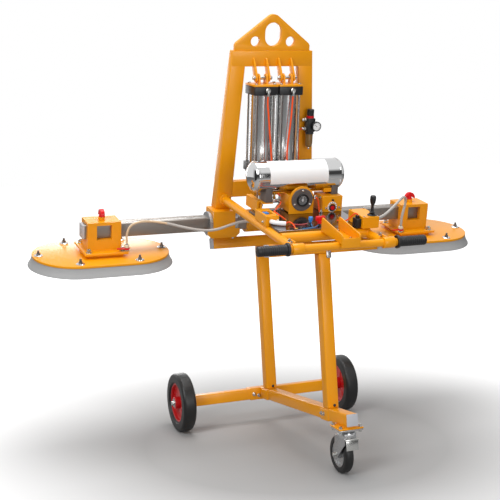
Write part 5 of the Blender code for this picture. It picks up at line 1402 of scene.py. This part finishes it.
@dataclass
class Instruments(Assembly):
    """Gauge, boxes, valves and control pieces on the deck."""

    deck: float = 0.2296
    gauge_y: float = -0.387
    gauge_z: float = 0.290

    def build(self) -> None:
        """Build every instrument."""
        self.build_gauge()
        self.build_control_box()
        self.build_left_box()
        self.build_right_box()
        self.build_joystick()
        self.build_valves()
        self.build_bracket()
        self.build_tank_valve()

    def build_gauge(self) -> None:
        """Build the round-topped housing, the dial with its bezel and screws, and the needle."""
        half, y, z = 0.055, self.gauge_y, self.gauge_z
        front = [(-half, self.deck), (half, self.deck), *arc((0, z), half, 0, 180, 48)]
        self.add("gauge_box", PAINT, ROOT, ["gauge_housing"],
                 plate(front, 0.006, facing_front(y + 0.006), 0.001),
                 box((-half + 0.004, y + 0.004, self.deck + 0.0053), (half - 0.004, -0.285, 0.3067),
                     0.0015))
        middle = (0, y - GAP, z)
        self.add("gauge_flange", GAUGE_GREY, ROOT, ["vacuum_gauge"],
                 lathe([(0.0, 0.0), (0.046, 0), (0.047, 0.001), (0.047, 0.006), (0.046, 0.007),
                        (0.0, 0.007)], 96, middle, TO_FRONT))
        self.add("gauge_bezel", BLACK, ROOT, [],
                 lathe([(0.0215, 0.007), (0.0205, 0.016), (0.0210, 0.017), (0.0255, 0.017),
                        (0.0260, 0.016), (0.0260, 0.007)], 96, middle, TO_FRONT, closed=True))
        self.add("gauge_dial", DIAL, ROOT, [],
                 lathe([(0.0, 0.0072), (0.0204, 0.0072), (0.0204, 0.0090), (0.0, 0.0090)],
                       64, middle, TO_FRONT),
                 round_bar((0, y - 0.0085, z), (0, y - 0.0143, z), 0.0015))
        marks = []
        for index in range(11):
            reach = 0.0185 if index % 5 else 0.0135
            mark = box((-0.0005, y - 0.0095, 0.0150), (0.0005, y - 0.0092, reach))
            marks.append(move(mark, on_dial((0, 0, z), DIAL_START - 27 * index)))
        self.add("gauge_scale", WHITE, ROOT, [], *marks)
        ring = lathe([(0.0018, 0.0106), (0.0040, 0.0106), (0.0040, 0.0120), (0.0018, 0.0120)],
                     32, middle, TO_FRONT, closed=True)
        self.add("gauge_hand", WHITE, "gauge_needle", ["gauge_needle"], ring,
                 box((-0.0008, y - 0.0118, z + 0.003), (0.0008, y - 0.0109, z + 0.016)),
                 box((-0.0012, y - 0.0118, z - 0.007), (0.0012, y - 0.0109, z - 0.003)))
        screws = [bolt((x, y - 0.0073, z + dz), TO_FRONT, 0.0040, 0.0055)
                  for x, dz in ((0.0, 0.0385), (-0.034, -0.019), (0.034, -0.019))]
        self.add("gauge_screws", BRIGHT, ROOT, [], *screws)

    def build_control_box(self) -> None:
        """Build the box with the stop button, its ring and screws."""
        x, y, low, button = 0.142, self.gauge_y, self.deck, 0.248
        shell = box((x - 0.046, y, low), (x + 0.046, y + 0.090, low + 0.068))
        well = round_bar((x, y - 0.01, button), (x, y + 0.010, button), 0.0095, sides=48)
        self.add("control_box_shell", PAINT, ROOT, ["control_box"],
                 soften(carve(shell, [well]), 0.002))
        self.add("button_plate", WHITE, ROOT, [],
                 lathe([(0.0152, 0), (0.0215, 0), (0.0215, 0.0012), (0.0152, 0.0012)], 64,
                       (x, y - GAP, button + 0.004), TO_FRONT, closed=True))
        ticks = []
        for index in range(12):
            tick = box((-0.0016, y - 0.0022, 0.0165), (0.0016, y - 0.0015, 0.0200))
            ticks.append(move(tick, on_dial((x, 0, button + 0.004), 90 + 30 * index)))
        self.add("button_ring", BLACK, ROOT, [],
                 lathe([(0.0096, 0), (0.0150, 0), (0.0140, 0.004), (0.0096, 0.004)], 64,
                       (x, y - GAP, button), TO_FRONT, closed=True),
                 round_bar((x, y - GAP, 0.281), (x, y - 0.006, 0.281), 0.0045, rounding=0.001),
                 *ticks)
        self.add("button", RED, "stop_button", ["stop_button"],
                 lathe([(0, -0.004), (0.0089, -0.004), (0.0089, 0.006), (0.0080, 0.0078),
                        (0, 0.0080)], 48, (x, y, button), TO_FRONT))
        self.add("control_box_screws", BRIGHT, ROOT, [],
                 *[bolt((x + dx, y, button), TO_FRONT, 0.0034, 0.0048)
                   for dx in (-0.028, 0.032)],
                 bolt((x - 0.046, y + 0.020, 0.288), (-1, 0, 0), 0.0045, 0.006))

    def build_left_box(self) -> None:
        """Build the valve box with its open pocket, its lower block and the elbow in its front."""
        x, y, top = -0.178, -0.4465, 0.2623
        shell = box((x - 0.028, y - 0.0585, 0.2193), (x + 0.028, y + 0.0585, top))
        pocket = box((x - 0.018, y - 0.030, top - 0.020), (x + 0.018, y + 0.030, top + 0.020))
        hole = round_bar((x - 0.008, y - 0.070, 0.2300), (x - 0.008, y - 0.050, 0.2300), 0.0050)
        self.add("left_box", PAINT, ROOT, ["left_valve_box"],
                 soften(carve(shell, [pocket, hole]), 0.0018),
                 box((-0.1715, -0.5045, 0.1823), (-0.1505, -0.4173, 0.2203), 0.0015),
                 box((-0.1705, -0.5040, 0.1828), (-0.1300, -0.4465, 0.2188), 0.0015))
        self.add("left_box_coil", BLUE, ROOT, [],
                 box((x - 0.014, y + 0.002, top - 0.0197),
                     (x + 0.010, y + 0.024, top - 0.004), 0.002),
                 round_bar((x - 0.006, y - 0.016, top - 0.0197),
                           (x - 0.006, y - 0.016, top - 0.008), 0.005, rounding=0.001))
        self.add("left_box_screws", BRIGHT, ROOT, [],
                 bolt((x - 0.028, y - 0.030, 0.232), (-1, 0, 0), 0.0040, 0.0055),
                 bolt((x + 0.020, y - 0.052, top), UP, 0.0035))
        elbow = [(-0.184, -0.5053, 0.2400), (-0.181, -0.514, 0.2400), (-0.172, -0.524, 0.2395),
                 (-0.160, -0.532, 0.2392), (-0.148, -0.539, 0.2392), (-0.137, -0.543, 0.2392)]
        line = smooth_line(elbow)
        ribs = [1.0 if index % 4 < 2 else 0.92 for index in range(len(line))]
        self.add("white_elbow", WHITE, ROOT, [], pipe(line, 0.0092, False, ribs))
        self.add("elbow_ends", CREAM, ROOT, [],
                 round_bar((-0.184, -0.5052, 0.2400), (-0.1835, -0.5090, 0.2400), 0.0096,
                           rounding=0.001),
                 round_bar((-0.160, -0.516, 0.2400), (-0.157, -0.512, 0.2480), 0.0045,
                           rounding=0.001))

    def build_right_box(self) -> None:
        """Build the valve box that carries the joystick."""
        x, y, low, high = 0.186, -0.585, self.deck, self.deck + 0.047
        shell = box((x - 0.036, y - 0.065, low), (x + 0.036, y + 0.065, high))
        well = round_bar((*JOYSTICK, high - 0.0085), (*JOYSTICK, high + 0.01), 0.0085)
        self.add("right_box", PAINT, ROOT, ["right_valve_box"],
                 soften(carve(shell, [well]), 0.0018))
        self.add("right_box_screws", BRIGHT, ROOT, [],
                 *[bolt((x + dx, y + dy, high), UP, 0.0035) for dx in (-0.029, 0.029)
                   for dy in (-0.058, 0.058)])
        left = x - 0.036
        self.add("side_valve", BLACK, ROOT, [],
                 box((left - 0.022, y - 0.052, low), (left - GAP, y - 0.016, high - 0.010), 0.002),
                 round_bar((left - 0.011, y - 0.034, high - 0.012),
                           (left - 0.011, y - 0.034, high + 0.002), 0.008, rounding=0.001))
        self.add("side_valve_line", ORANGE_LINE, ROOT, [],
                 pipe([(left - 0.011, y - 0.034, high), (left - 0.012, y - 0.034, high + 0.006),
                       (left - 0.024, y - 0.030, high + 0.007),
                       (left - 0.040, y - 0.010, low + 0.026),
                       (left - 0.046, y + 0.020, low + 0.012),
                       (left - 0.050, y + 0.060, low + 0.004)], LINE_RADIUS))
        self.add("hose_tail", BRIGHT, ROOT, [],
                 round_bar((x + 0.036, -0.590, 0.252), (x + 0.0363, -0.590, 0.252), 0.0075))

    def build_joystick(self) -> None:
        """Build the joystick with its knob and boot, and the flared skirt that stays on the box."""
        base = (*JOYSTICK, 0.2766)
        boot = [(0.0080, 0.0080), (0.0108, 0.0110), (0.0115, 0.0130), (0.0075, 0.0165),
                (0.0060, 0.0230), (0.0055, 0.0380), (0.0070, 0.0440), (0.0105, 0.0530),
                (0.0120, 0.0620), (0.0120, 0.0740), (0.0105, 0.0795), (0.0070, 0.0815),
                (0.0, 0.0820)]
        ball = [(0.0, -0.008), *arc((0, 0), 0.008, -82, 6, 11)]
        self.add("joystick", BLACK, "joystick", ["joystick_lever"], lathe([*ball, *boot], 56, base))
        skirt = [(0.0120, 0.0004), (0.0182, 0.0004), (0.0185, 0.0018), (0.0168, 0.0038),
                 (0.0135, 0.0052), (0.0122, 0.0046)]
        self.add("joystick_skirt", BLACK, ROOT, [], lathe(skirt, 56, base, closed=True))

    def build_valves(self) -> None:
        """Build the flow knob and the vent valve with its tubes."""
        foot = 0.2396
        flow = [(0, 0), (0.006, 0), (0.006, 0.004), (0.0085, 0.0075), (0.0090, 0.009),
                (0.0090, 0.0180), (0.0078, 0.0215), (0.0070, 0.022), (0, 0.022)]
        self.add("flow_knob_cap", BLUE, "flow_knob", ["flow_knob"],
                 lathe(flow, 48, (*FLOW_KNOB, foot)))
        x, y = VENT_VALVE
        self.add("vent_valve_cap", RED, "vent_valve", ["vent_valve_handle"],
                 lathe([(0, 0), (0.0105, 0), (0.011, 0.0005), (0.011, 0.0115), (0.0105, 0.012),
                        (0, 0.012)], 48, (x, y, foot)),
                 box((x - 0.020, y - 0.007, foot + 0.010),
                     (x + 0.020, y + 0.007, foot + 0.030), 0.003))
        self.add("thin_red_line", RED_LINE, ROOT, [],
                 pipe([(-0.108, -0.536, 0.2345), (-0.085, -0.541, 0.2320), (-0.062, -0.544, 0.2320),
                       (-0.042, -0.545, 0.2345)], 0.0015))
        self.add("thin_blue_lines", BLUE_LINE, ROOT, [],
                 pipe([(-0.090, -0.601, 0.2318), (-0.060, -0.599, 0.2318), (-0.034, -0.594, 0.2318),
                       (-0.010, -0.576, 0.2345)], 0.0018),
                 pipe([(-0.036, -0.577, 0.2318), (-0.033, -0.562, 0.2330),
                       (-0.030, -0.552, 0.2360)], 0.0018))

    def build_bracket(self) -> None:
        """Build the side bracket with its slot, and the flange that reaches to the strap."""
        x, low, top = -0.1625, self.deck, 0.2766
        shell = box((x - 0.0115, -0.330, low), (x + 0.0115, -0.207, top))
        slot = box((x - 0.003, -0.340, 0.246), (x + 0.003, -0.320, 0.267))
        self.add("bracket", PAINT, ROOT, ["side_bracket"], soften(carve(shell, [slot]), 0.001),
                 box((x, -0.365, top - 0.0040), (-0.118, -0.296, top - GAP), 0.0008))
        self.add("bracket_block", GAUGE_GREY, ROOT, [],
                 box((-0.137, -0.340, top), (-0.121, -0.318, 0.3040), 0.0015))

    def build_tank_valve(self) -> None:
        """Build the small valve under the tank with its line, and the fitting on the right."""
        self.add("tank_valve", BRIGHT, ROOT, [],
                 box((-0.116, -0.353, 0.272), (-0.082, -0.337, 0.287), 0.002),
                 round_bar((-0.090, -0.345, 0.2795), (-0.084, -0.362, 0.2795), 0.0065,
                           rounding=0.001))
        self.add("tank_valve_stem", BRASS, ROOT, [],
                 round_bar((-0.106, -0.345, 0.287), (-0.106, -0.345, 0.3115), 0.0048,
                           rounding=0.0006),
                 round_bar((-0.106, -0.345, 0.290), (-0.106, -0.345, 0.297), 0.0068, sides=HEX,
                           rounding=0.0006))
        self.add("tank_valve_cap", CREAM, ROOT, [],
                 round_bar((-0.121, -0.345, 0.286), (-0.121, -0.345, 0.303), 0.0055,
                           rounding=0.001))
        self.add("left_orange_line", ORANGE_LINE, ROOT, [],
                 pipe([(-0.084, -0.362, 0.2795), (-0.090, -0.378, 0.2790), (-0.105, -0.394, 0.2700),
                       (-0.122, -0.402, 0.2570), (-0.140, -0.430, 0.2600), (-0.138, -0.455, 0.2570),
                       (-0.122, -0.468, 0.2450), (-0.108, -0.478, 0.2340)], LINE_RADIUS))
        self.add("front_orange_line", ORANGE_LINE, ROOT, [],
                 pipe([(-0.137, -0.543, 0.2392), (-0.122, -0.527, 0.2385), (-0.110, -0.522, 0.2375),
                       (-0.106, -0.545, 0.2350), (-0.112, -0.572, 0.2335),
                       (-0.120, -0.598, 0.2335)], LINE_RADIUS))
        self.add("line_ends", BRASS, ROOT, [],
                 round_bar((-0.108, -0.478, 0.2296), (-0.108, -0.478, 0.2370), 0.0045,
                           rounding=0.0006),
                 round_bar((-0.123, -0.600, 0.2335), (-0.110, -0.600, 0.2335), 0.0028,
                           rounding=0.0005))
        x, y = 0.0805, -0.395
        self.add("right_fitting", BRIGHT, ROOT, [],
                 round_bar((x + 0.006, y, 0.2296), (x + 0.006, y, 0.238), 0.0075, sides=HEX,
                           rounding=0.0006),
                 round_bar((x + 0.006, y, 0.238), (x + 0.006, y, 0.247), 0.0050, rounding=0.001),
                 round_bar((0.058, -0.3855, 0.299), (0.058, -0.399, 0.299), 0.0090, rounding=0.001))
        self.add("right_orange_line", ORANGE_LINE, ROOT, [],
                 pipe([(0.058, -0.399, 0.299), (0.061, -0.402, 0.296), (0.068, -0.399, 0.286),
                       (0.074, -0.396, 0.268), (0.078, -0.395, 0.249), (0.080, -0.395, 0.234)],
                      LINE_RADIUS))


@dataclass
class Regulator(Assembly):
    """Air filter and pressure regulator on the right upright."""

    x: float = 0.182
    y: float = -0.036
    low: float = 0.500
    high: float = 0.560

    def build(self) -> None:
        """Build the body, the bowl, the small gauge, the fittings and the knob."""
        x, y = self.x, self.y
        self.add("regulator_block", ANODISED, ROOT, ["regulator_body"],
                 box((x - 0.018, y - 0.018, self.low), (x + 0.018, y + 0.018, self.high), 0.003),
                 box((x - 0.010, y, self.low + 0.020), (x + 0.010, -0.0063, self.high - 0.010),
                     0.001),
                 round_bar((x, y, self.high - 0.002), (x, y, self.high + 0.010), 0.011),
                 lathe([(0.0, 0), (0.0185, 0), (0.0185, -0.010), (0.0, -0.010)], 48,
                       (x, y, self.low)))
        bowl = [(0.0, -0.0103), (0.0160, -0.0103), (0.0160, -0.050), (0.0145, -0.062),
                (0.0110, -0.0695), (0.0, -0.0720)]
        self.add("regulator_bowl", BOWL, ROOT, [], lathe(bowl, 64, (x, y, self.low)))
        self.add("bowl_drain", BRIGHT, ROOT, [],
                 round_bar((x, y, self.low - 0.070), (x, y, self.low - 0.080), 0.0045,
                           rounding=0.0008))
        middle = (x + 0.018, y - 0.018, 0.527)
        self.add("small_gauge_case", BLACK, ROOT, [],
                 lathe([(0, 0), (0.0175, 0), (0.0205, 0.004), (0.0210, 0.006), (0.0210, 0.017),
                        (0.0200, 0.018), (0.0178, 0.018), (0.0178, 0.0150), (0.0, 0.0150)],
                       64, middle, TO_FRONT))
        self.add("small_gauge_face", WHITE, ROOT, [],
                 lathe([(0, 0.0152), (0.0176, 0.0152), (0.0176, 0.0158), (0, 0.0158)],
                       64, middle, TO_FRONT))
        ticks = []
        for index in range(9):
            tick = box((-0.0004, -0.0165, 0.0125), (0.0004, -0.0159, 0.0160))
            ticks.append(move(tick, on_dial(middle, DIAL_START - 33.75 * index)))
        hand = box((-0.0006, -0.0170, -0.003), (0.0006, -0.0163, 0.0120))
        ticks.append(move(hand, on_dial(middle, 40)))
        self.add("small_gauge_marks", BLACK, ROOT, [], *ticks)
        self.add("regulator_ring", RED, ROOT, [],
                 lathe([(0.0114, 0), (0.0165, 0), (0.0165, 0.0095), (0.0114, 0.0095)], 56,
                       (x, y, self.high + GAP), closed=True))
        knob = [(0, 0), (0.0145, 0), (0.0155, 0.001)]
        for index in range(4):
            knob += [(0.0155, 0.005 + index * 0.004), (0.0148, 0.006 + index * 0.004),
                     (0.0155, 0.007 + index * 0.004)]
        knob += [(0.0155, 0.0245), (0.0142, 0.0275), (0.0125, 0.0280), (0, 0.0280)]
        self.add("regulator_cap", BLACK, "regulator_knob", ["regulator_knob"],
                 lathe(knob, 56, (x, y, self.high + 0.0103)))
        fittings = []
        for z in (0.552, 0.513):
            fittings += [round_bar((x - 0.018, y, z), (x - 0.026, y, z), 0.009, sides=HEX,
                                   rounding=0.0006),
                         round_bar((x - 0.026, y, z), (x - 0.036, y, z), 0.0065, rounding=0.001)]
        self.add("regulator_fittings", BRIGHT, ROOT, [], *fittings)
        self.add("regulator_line", ORANGE_LINE, ROOT, [],
                 pipe([(x - 0.034, y, 0.513), (x - 0.046, y - 0.001, 0.510),
                       (x - 0.052, y - 0.002, 0.495), (x - 0.053, y - 0.006, 0.440),
                       (x - 0.055, y - 0.024, 0.380), (x - 0.058, -0.100, 0.320),
                       (x - 0.060, -0.190, 0.275), (x - 0.060, -0.262, 0.264),
                       (x - 0.060, -0.2965, 0.264)], LINE_RADIUS))


@dataclass
class AirLines(Assembly):
    """Orange nylon lines from the cylinders' fittings to the back of the gauge's housing."""

    back: float = -0.285

    def build(self) -> None:
        """Build both lines, which end in fittings behind the tank."""
        runs = (("left", -0.036,
                 [(-0.054, -0.105, 0.668), (-0.055, -0.1085, 0.640), (-0.052, -0.120, 0.580),
                  (-0.046, -0.128, 0.510), (-0.039, -0.134, 0.440), (-0.036, -0.150, 0.360)]),
                ("right", 0.034,
                 [(0.061, -0.105, 0.668), (0.059, -0.1085, 0.640), (0.052, -0.120, 0.580),
                  (0.043, -0.128, 0.510), (0.036, -0.134, 0.440), (0.034, -0.150, 0.360)]))
        for word, x, route in runs:
            bend = [(x, -0.182, 0.302), (x, -0.220, 0.277), (x, self.back + 0.014, 0.272)]
            self.add(f"{word}_cylinder_line", ORANGE_LINE, ROOT, [], pipe([*route, *bend], 0.004))
            self.add(f"{word}_line_end", BRIGHT, ROOT, [],
                     round_bar((x, self.back + GAP, 0.272), (x, self.back + 0.020, 0.272), 0.008,
                               sides=32, rounding=0.001))


@dataclass
class VacuumHoses(Assembly):
    """The two hoses from the pads' ports, in the lifter's frame.

    The stretches of each meet on the swinging bar. The left hose is clear and smooth near its port
    and ribbed beyond.
    """

    radius: float = 0.0062
    port: tuple = (0.656, -0.090, 0.0566)

    def build(self) -> None:
        """Build both hoses."""
        x, y, z = self.port
        left = [(-x, y, z), (-x, y, 0.095), (-0.642, -0.090, 0.130), (-0.605, -0.090, 0.147),
                (-0.550, -0.088, 0.146), (-0.480, -0.085, 0.132), (-0.410, -0.085, 0.112),
                (-0.350, -0.088, 0.098), (-0.300, -0.092, 0.092), (-0.250, -0.100, 0.098),
                (-0.200, -0.115, 0.118), (-0.160, -0.150, 0.140), (-0.135, -0.205, 0.152),
                (-0.123, -0.265, 0.162), (-0.120, -0.305, 0.182), (-0.120, -0.305, 0.199)]
        right = [(x, y, z), (x, y, 0.090), (0.660, y, 0.115), (0.668, -0.088, 0.150),
                 (0.662, -0.098, 0.185), (0.625, -0.140, 0.205), (0.560, -0.220, 0.214),
                 (0.470, -0.335, 0.225), (0.380, -0.450, 0.238), (0.300, -0.545, 0.248),
                 (0.250, -0.590, 0.252), (0.2223, -0.590, 0.252)]
        slide, swing = ((-0.640, 0, 0), (-0.310, 0, 0)), ((-0.290, 0, 0), (-0.130, 0, 0))
        self.stretch("left_hose", "clear", left, (0, 5), "left_pad", slide)
        self.stretch("left_hose", "ribbed", left, (5, 8), "left_pad", slide)
        self.stretch("left_hose", "frame", left, (8, len(left) - 1), "", swing)
        slide, swing = ((0, -0.105, 0), (0, -0.210, 0)), ((0, -0.230, 0), (0, -0.560, 0))
        self.stretch("right_hose", "pad", right, (0, 6), "right_pad", slide)
        self.stretch("right_hose", "frame", right, (6, len(right) - 1), "", swing)

    def stretch(self, node: str, part: str, route: Sequence[Point], ends: tuple, pad: str,
                span: tuple) -> None:
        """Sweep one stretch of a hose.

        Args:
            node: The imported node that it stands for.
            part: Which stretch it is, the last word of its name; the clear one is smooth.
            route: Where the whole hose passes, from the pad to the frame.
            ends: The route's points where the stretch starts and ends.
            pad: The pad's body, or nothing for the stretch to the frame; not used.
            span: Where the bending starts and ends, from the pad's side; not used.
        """
        line = smooth_line(route, HOSE_STEPS)[ends[0] * HOSE_STEPS:ends[1] * HOSE_STEPS + 1]
        clear = part == "clear"
        ribs = None if clear else [1.0 if index % 2 else 0.90 for index in range(len(line))]
        hose = move(pipe(line, self.radius * (0.78 if clear else 1.0), False, ribs), self.frame)
        hose.name = hose.data.name = f"{node}_{part}"
        hose.data.materials.clear()
        finish = CLEAR_HOSE if clear else CONDUIT
        hose.data.materials.append(finish.material())
        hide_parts(node)
        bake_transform(hose)
        LOG.info("%s: %d faces", hose.name, len(hose.data.polygons))


def remap(tree: bpy.types.NodeTree, value: bpy.types.NodeSocket, start: float, end: float,
          low: float, high: float) -> bpy.types.NodeSocket:
    """Add a node that maps a value from one range to another.

    Args:
        tree: The node tree.
        value: The socket that gives the value.
        start: The value that gives the low result.
        end: The value that gives the high result.
        low: The low result.
        high: The high result.

    Returns:
        The result's socket.
    """
    node = add_node(tree, "ShaderNodeMapRange",
                    {"From Min": start, "From Max": end, "To Min": low, "To Max": high},
                    {"Value": value})
    return node.outputs["Result"]


def build_floor() -> None:
    """Add the pale floor with painted light: it glows to the camera towards its edges, so that it
    is white far away and darker near the lifter whether or not a shadow falls there.
    """
    bpy.ops.mesh.primitive_plane_add(size=FLOOR_SIZE, location=(0, 0, -0.0005))
    floor = bpy.context.object
    floor.name = "studio_floor"
    material = FLOOR.material()
    shader = next(node for node in material.node_tree.nodes if node.type == "BSDF_PRINCIPLED")
    shader.inputs["Emission Color"].default_value = linear("#FFFFFF")
    tree = material.node_tree
    place = next(node for node in tree.nodes if node.type == "TEX_COORD")
    # Painted light: camera-only glow that grows with the distance from the middle
    reach = add_node(tree, "ShaderNodeVectorMath", {"operation": "LENGTH"},
                     {"Vector": place.outputs["Object"]})
    glow = remap(tree, reach.outputs["Value"], *GLOW_FROM_TO, 0.0, 1.0)
    seen = add_node(tree, "ShaderNodeLightPath")
    shown = add_node(tree, "ShaderNodeMath", {"operation": "MULTIPLY"},
                     {0: glow, 1: seen.outputs["Is Camera Ray"]})
    tree.links.new(shown.outputs["Value"], shader.inputs["Emission Strength"])
    floor.data.materials.append(material)


def build_cards() -> None:
    """Stand dark cards out of view, which bright metal shows as dark bands."""
    shade = CARD.material()
    for name, place, size, turn in CARDS:
        bpy.ops.mesh.primitive_plane_add(size=1.0, location=place)
        card = bpy.context.object
        card.name = name
        card.scale = (*size, 1.0)
        card.rotation_euler = (math.pi / 2, 0.0, math.radians(turn))
        card.data.materials.append(shade)
        card.visible_camera = False


def build_lights() -> None:
    """Add the soft lights, which point at the middle of the lifter."""
    for name, location, size, energy in LIGHTS:
        light = bpy.data.lights.new(name, "AREA")
        light.size = size
        light.energy = energy
        lamp = bpy.data.objects.new(name, light)
        lamp.location = location
        aim = Vector(LIGHTS_AIM) - lamp.location
        lamp.rotation_euler = aim.to_track_quat("-Z", "Y").to_euler()
        bpy.context.scene.collection.objects.link(lamp)


def build_world() -> None:
    """Add the world: white to the camera, and to glossy rays bright behind and above only."""
    world = bpy.data.worlds.new("studio")
    world.use_nodes = True
    tree = world.node_tree
    tree.nodes.clear()
    seen = add_node(tree, "ShaderNodeLightPath")
    toward = add_node(tree, "ShaderNodeTexCoord").outputs["Generated"]
    behind = add_node(tree, "ShaderNodeVectorMath", {"operation": "DOT_PRODUCT", 1: BEHIND},
                      {0: toward})
    above = add_node(tree, "ShaderNodeVectorMath", {"operation": "DOT_PRODUCT", 1: (0.0, 0.0, 1.0)},
                     {0: toward})
    bright = add_node(tree, "ShaderNodeMath", {"operation": "MAXIMUM"},
                      {0: remap(tree, behind.outputs["Value"], *WALL_FROM_TO, *MIRRORED),
                       1: remap(tree, above.outputs["Value"], *CEILING_FROM_TO, *MIRRORED)})
    shine = add_node(tree, "ShaderNodeMapRange", {"To Min": AMBIENT},
                     {"Value": seen.outputs["Is Glossy Ray"], "To Max": bright.outputs["Value"]})
    plain = add_node(tree, "ShaderNodeMapRange", {"To Max": 1.0},
                     {"Value": seen.outputs["Is Camera Ray"], "To Min": shine.outputs["Result"]})
    glow = add_node(tree, "ShaderNodeBackground", {"Color": linear("#FFFFFF")},
                    {"Strength": plain.outputs["Result"]})
    add_node(tree, "ShaderNodeOutputWorld", {}, {"Surface": glow.outputs["Background"]})
    bpy.context.scene.world = world


def build_camera() -> None:
    """Add the camera where the photo was taken from."""
    azimuth, drop, roll = (math.radians(angle) for angle in CAMERA_ANGLES)
    ahead = Vector((math.sin(azimuth) * math.cos(drop), math.cos(azimuth) * math.cos(drop),
                    -math.sin(drop)))
    level = Vector((math.cos(azimuth), -math.sin(azimuth), 0.0))
    upward = level.cross(ahead)
    right = math.cos(roll) * level + math.sin(roll) * upward
    data = bpy.data.cameras.new("photo view")
    data.sensor_width = CAMERA_SENSOR_MM
    data.lens = CAMERA_LENS_MM
    camera = bpy.data.objects.new("photo view", data)
    camera.matrix_world = Matrix.Translation(CAMERA_PLACE) @ Matrix(
        (right, right.cross(ahead), -ahead)).transposed().to_4x4()
    bpy.context.scene.collection.objects.link(camera)
    bpy.context.scene.camera = camera
    bpy.context.scene.view_settings.view_transform = "Standard"


def build_studio() -> None:
    """Add the floor, the cards, the lights, the world and the camera."""
    build_floor()
    build_cards()
    build_lights()
    build_world()
    build_camera()


def write_sizes() -> None:
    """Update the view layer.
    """
    bpy.context.view_layer.update()


def main() -> None:
    """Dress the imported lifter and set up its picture."""
    logging.basicConfig(level=logging.INFO, format="%(message)s")
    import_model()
    Trolley(TROLLEY).build()
    Caster(CASTER).build()
    Mast(LIFTER).build()
    TiltBar(BAR_AXIS).build()
    HandleFrame(LIFTER).build()
    VacuumTank(LIFTER).build()
    Instruments(LIFTER).build()
    Regulator(LIFTER).build()
    AirLines(LIFTER).build()
    VacuumHoses(LIFTER).build()
    for side in Side:
        TrolleyWheel(TROLLEY @ Matrix.Translation((side.sign * WHEEL_X, 0, 0)), side).build()
        pin = Matrix.Translation((side.sign * CYLINDER_X, *CYLINDER_PIN))
        Cylinder(LIFTER @ pin @ Matrix.Rotation(CYLINDER_LEAN, 4, "X"), side).build()
        SuctionPad(BAR_AXIS @ Matrix.Translation((side.sign * PAD_X, 0, -BAR_HEIGHT)), side).build()
    build_studio()
    write_sizes()


if __name__ == "__main__":
    main()
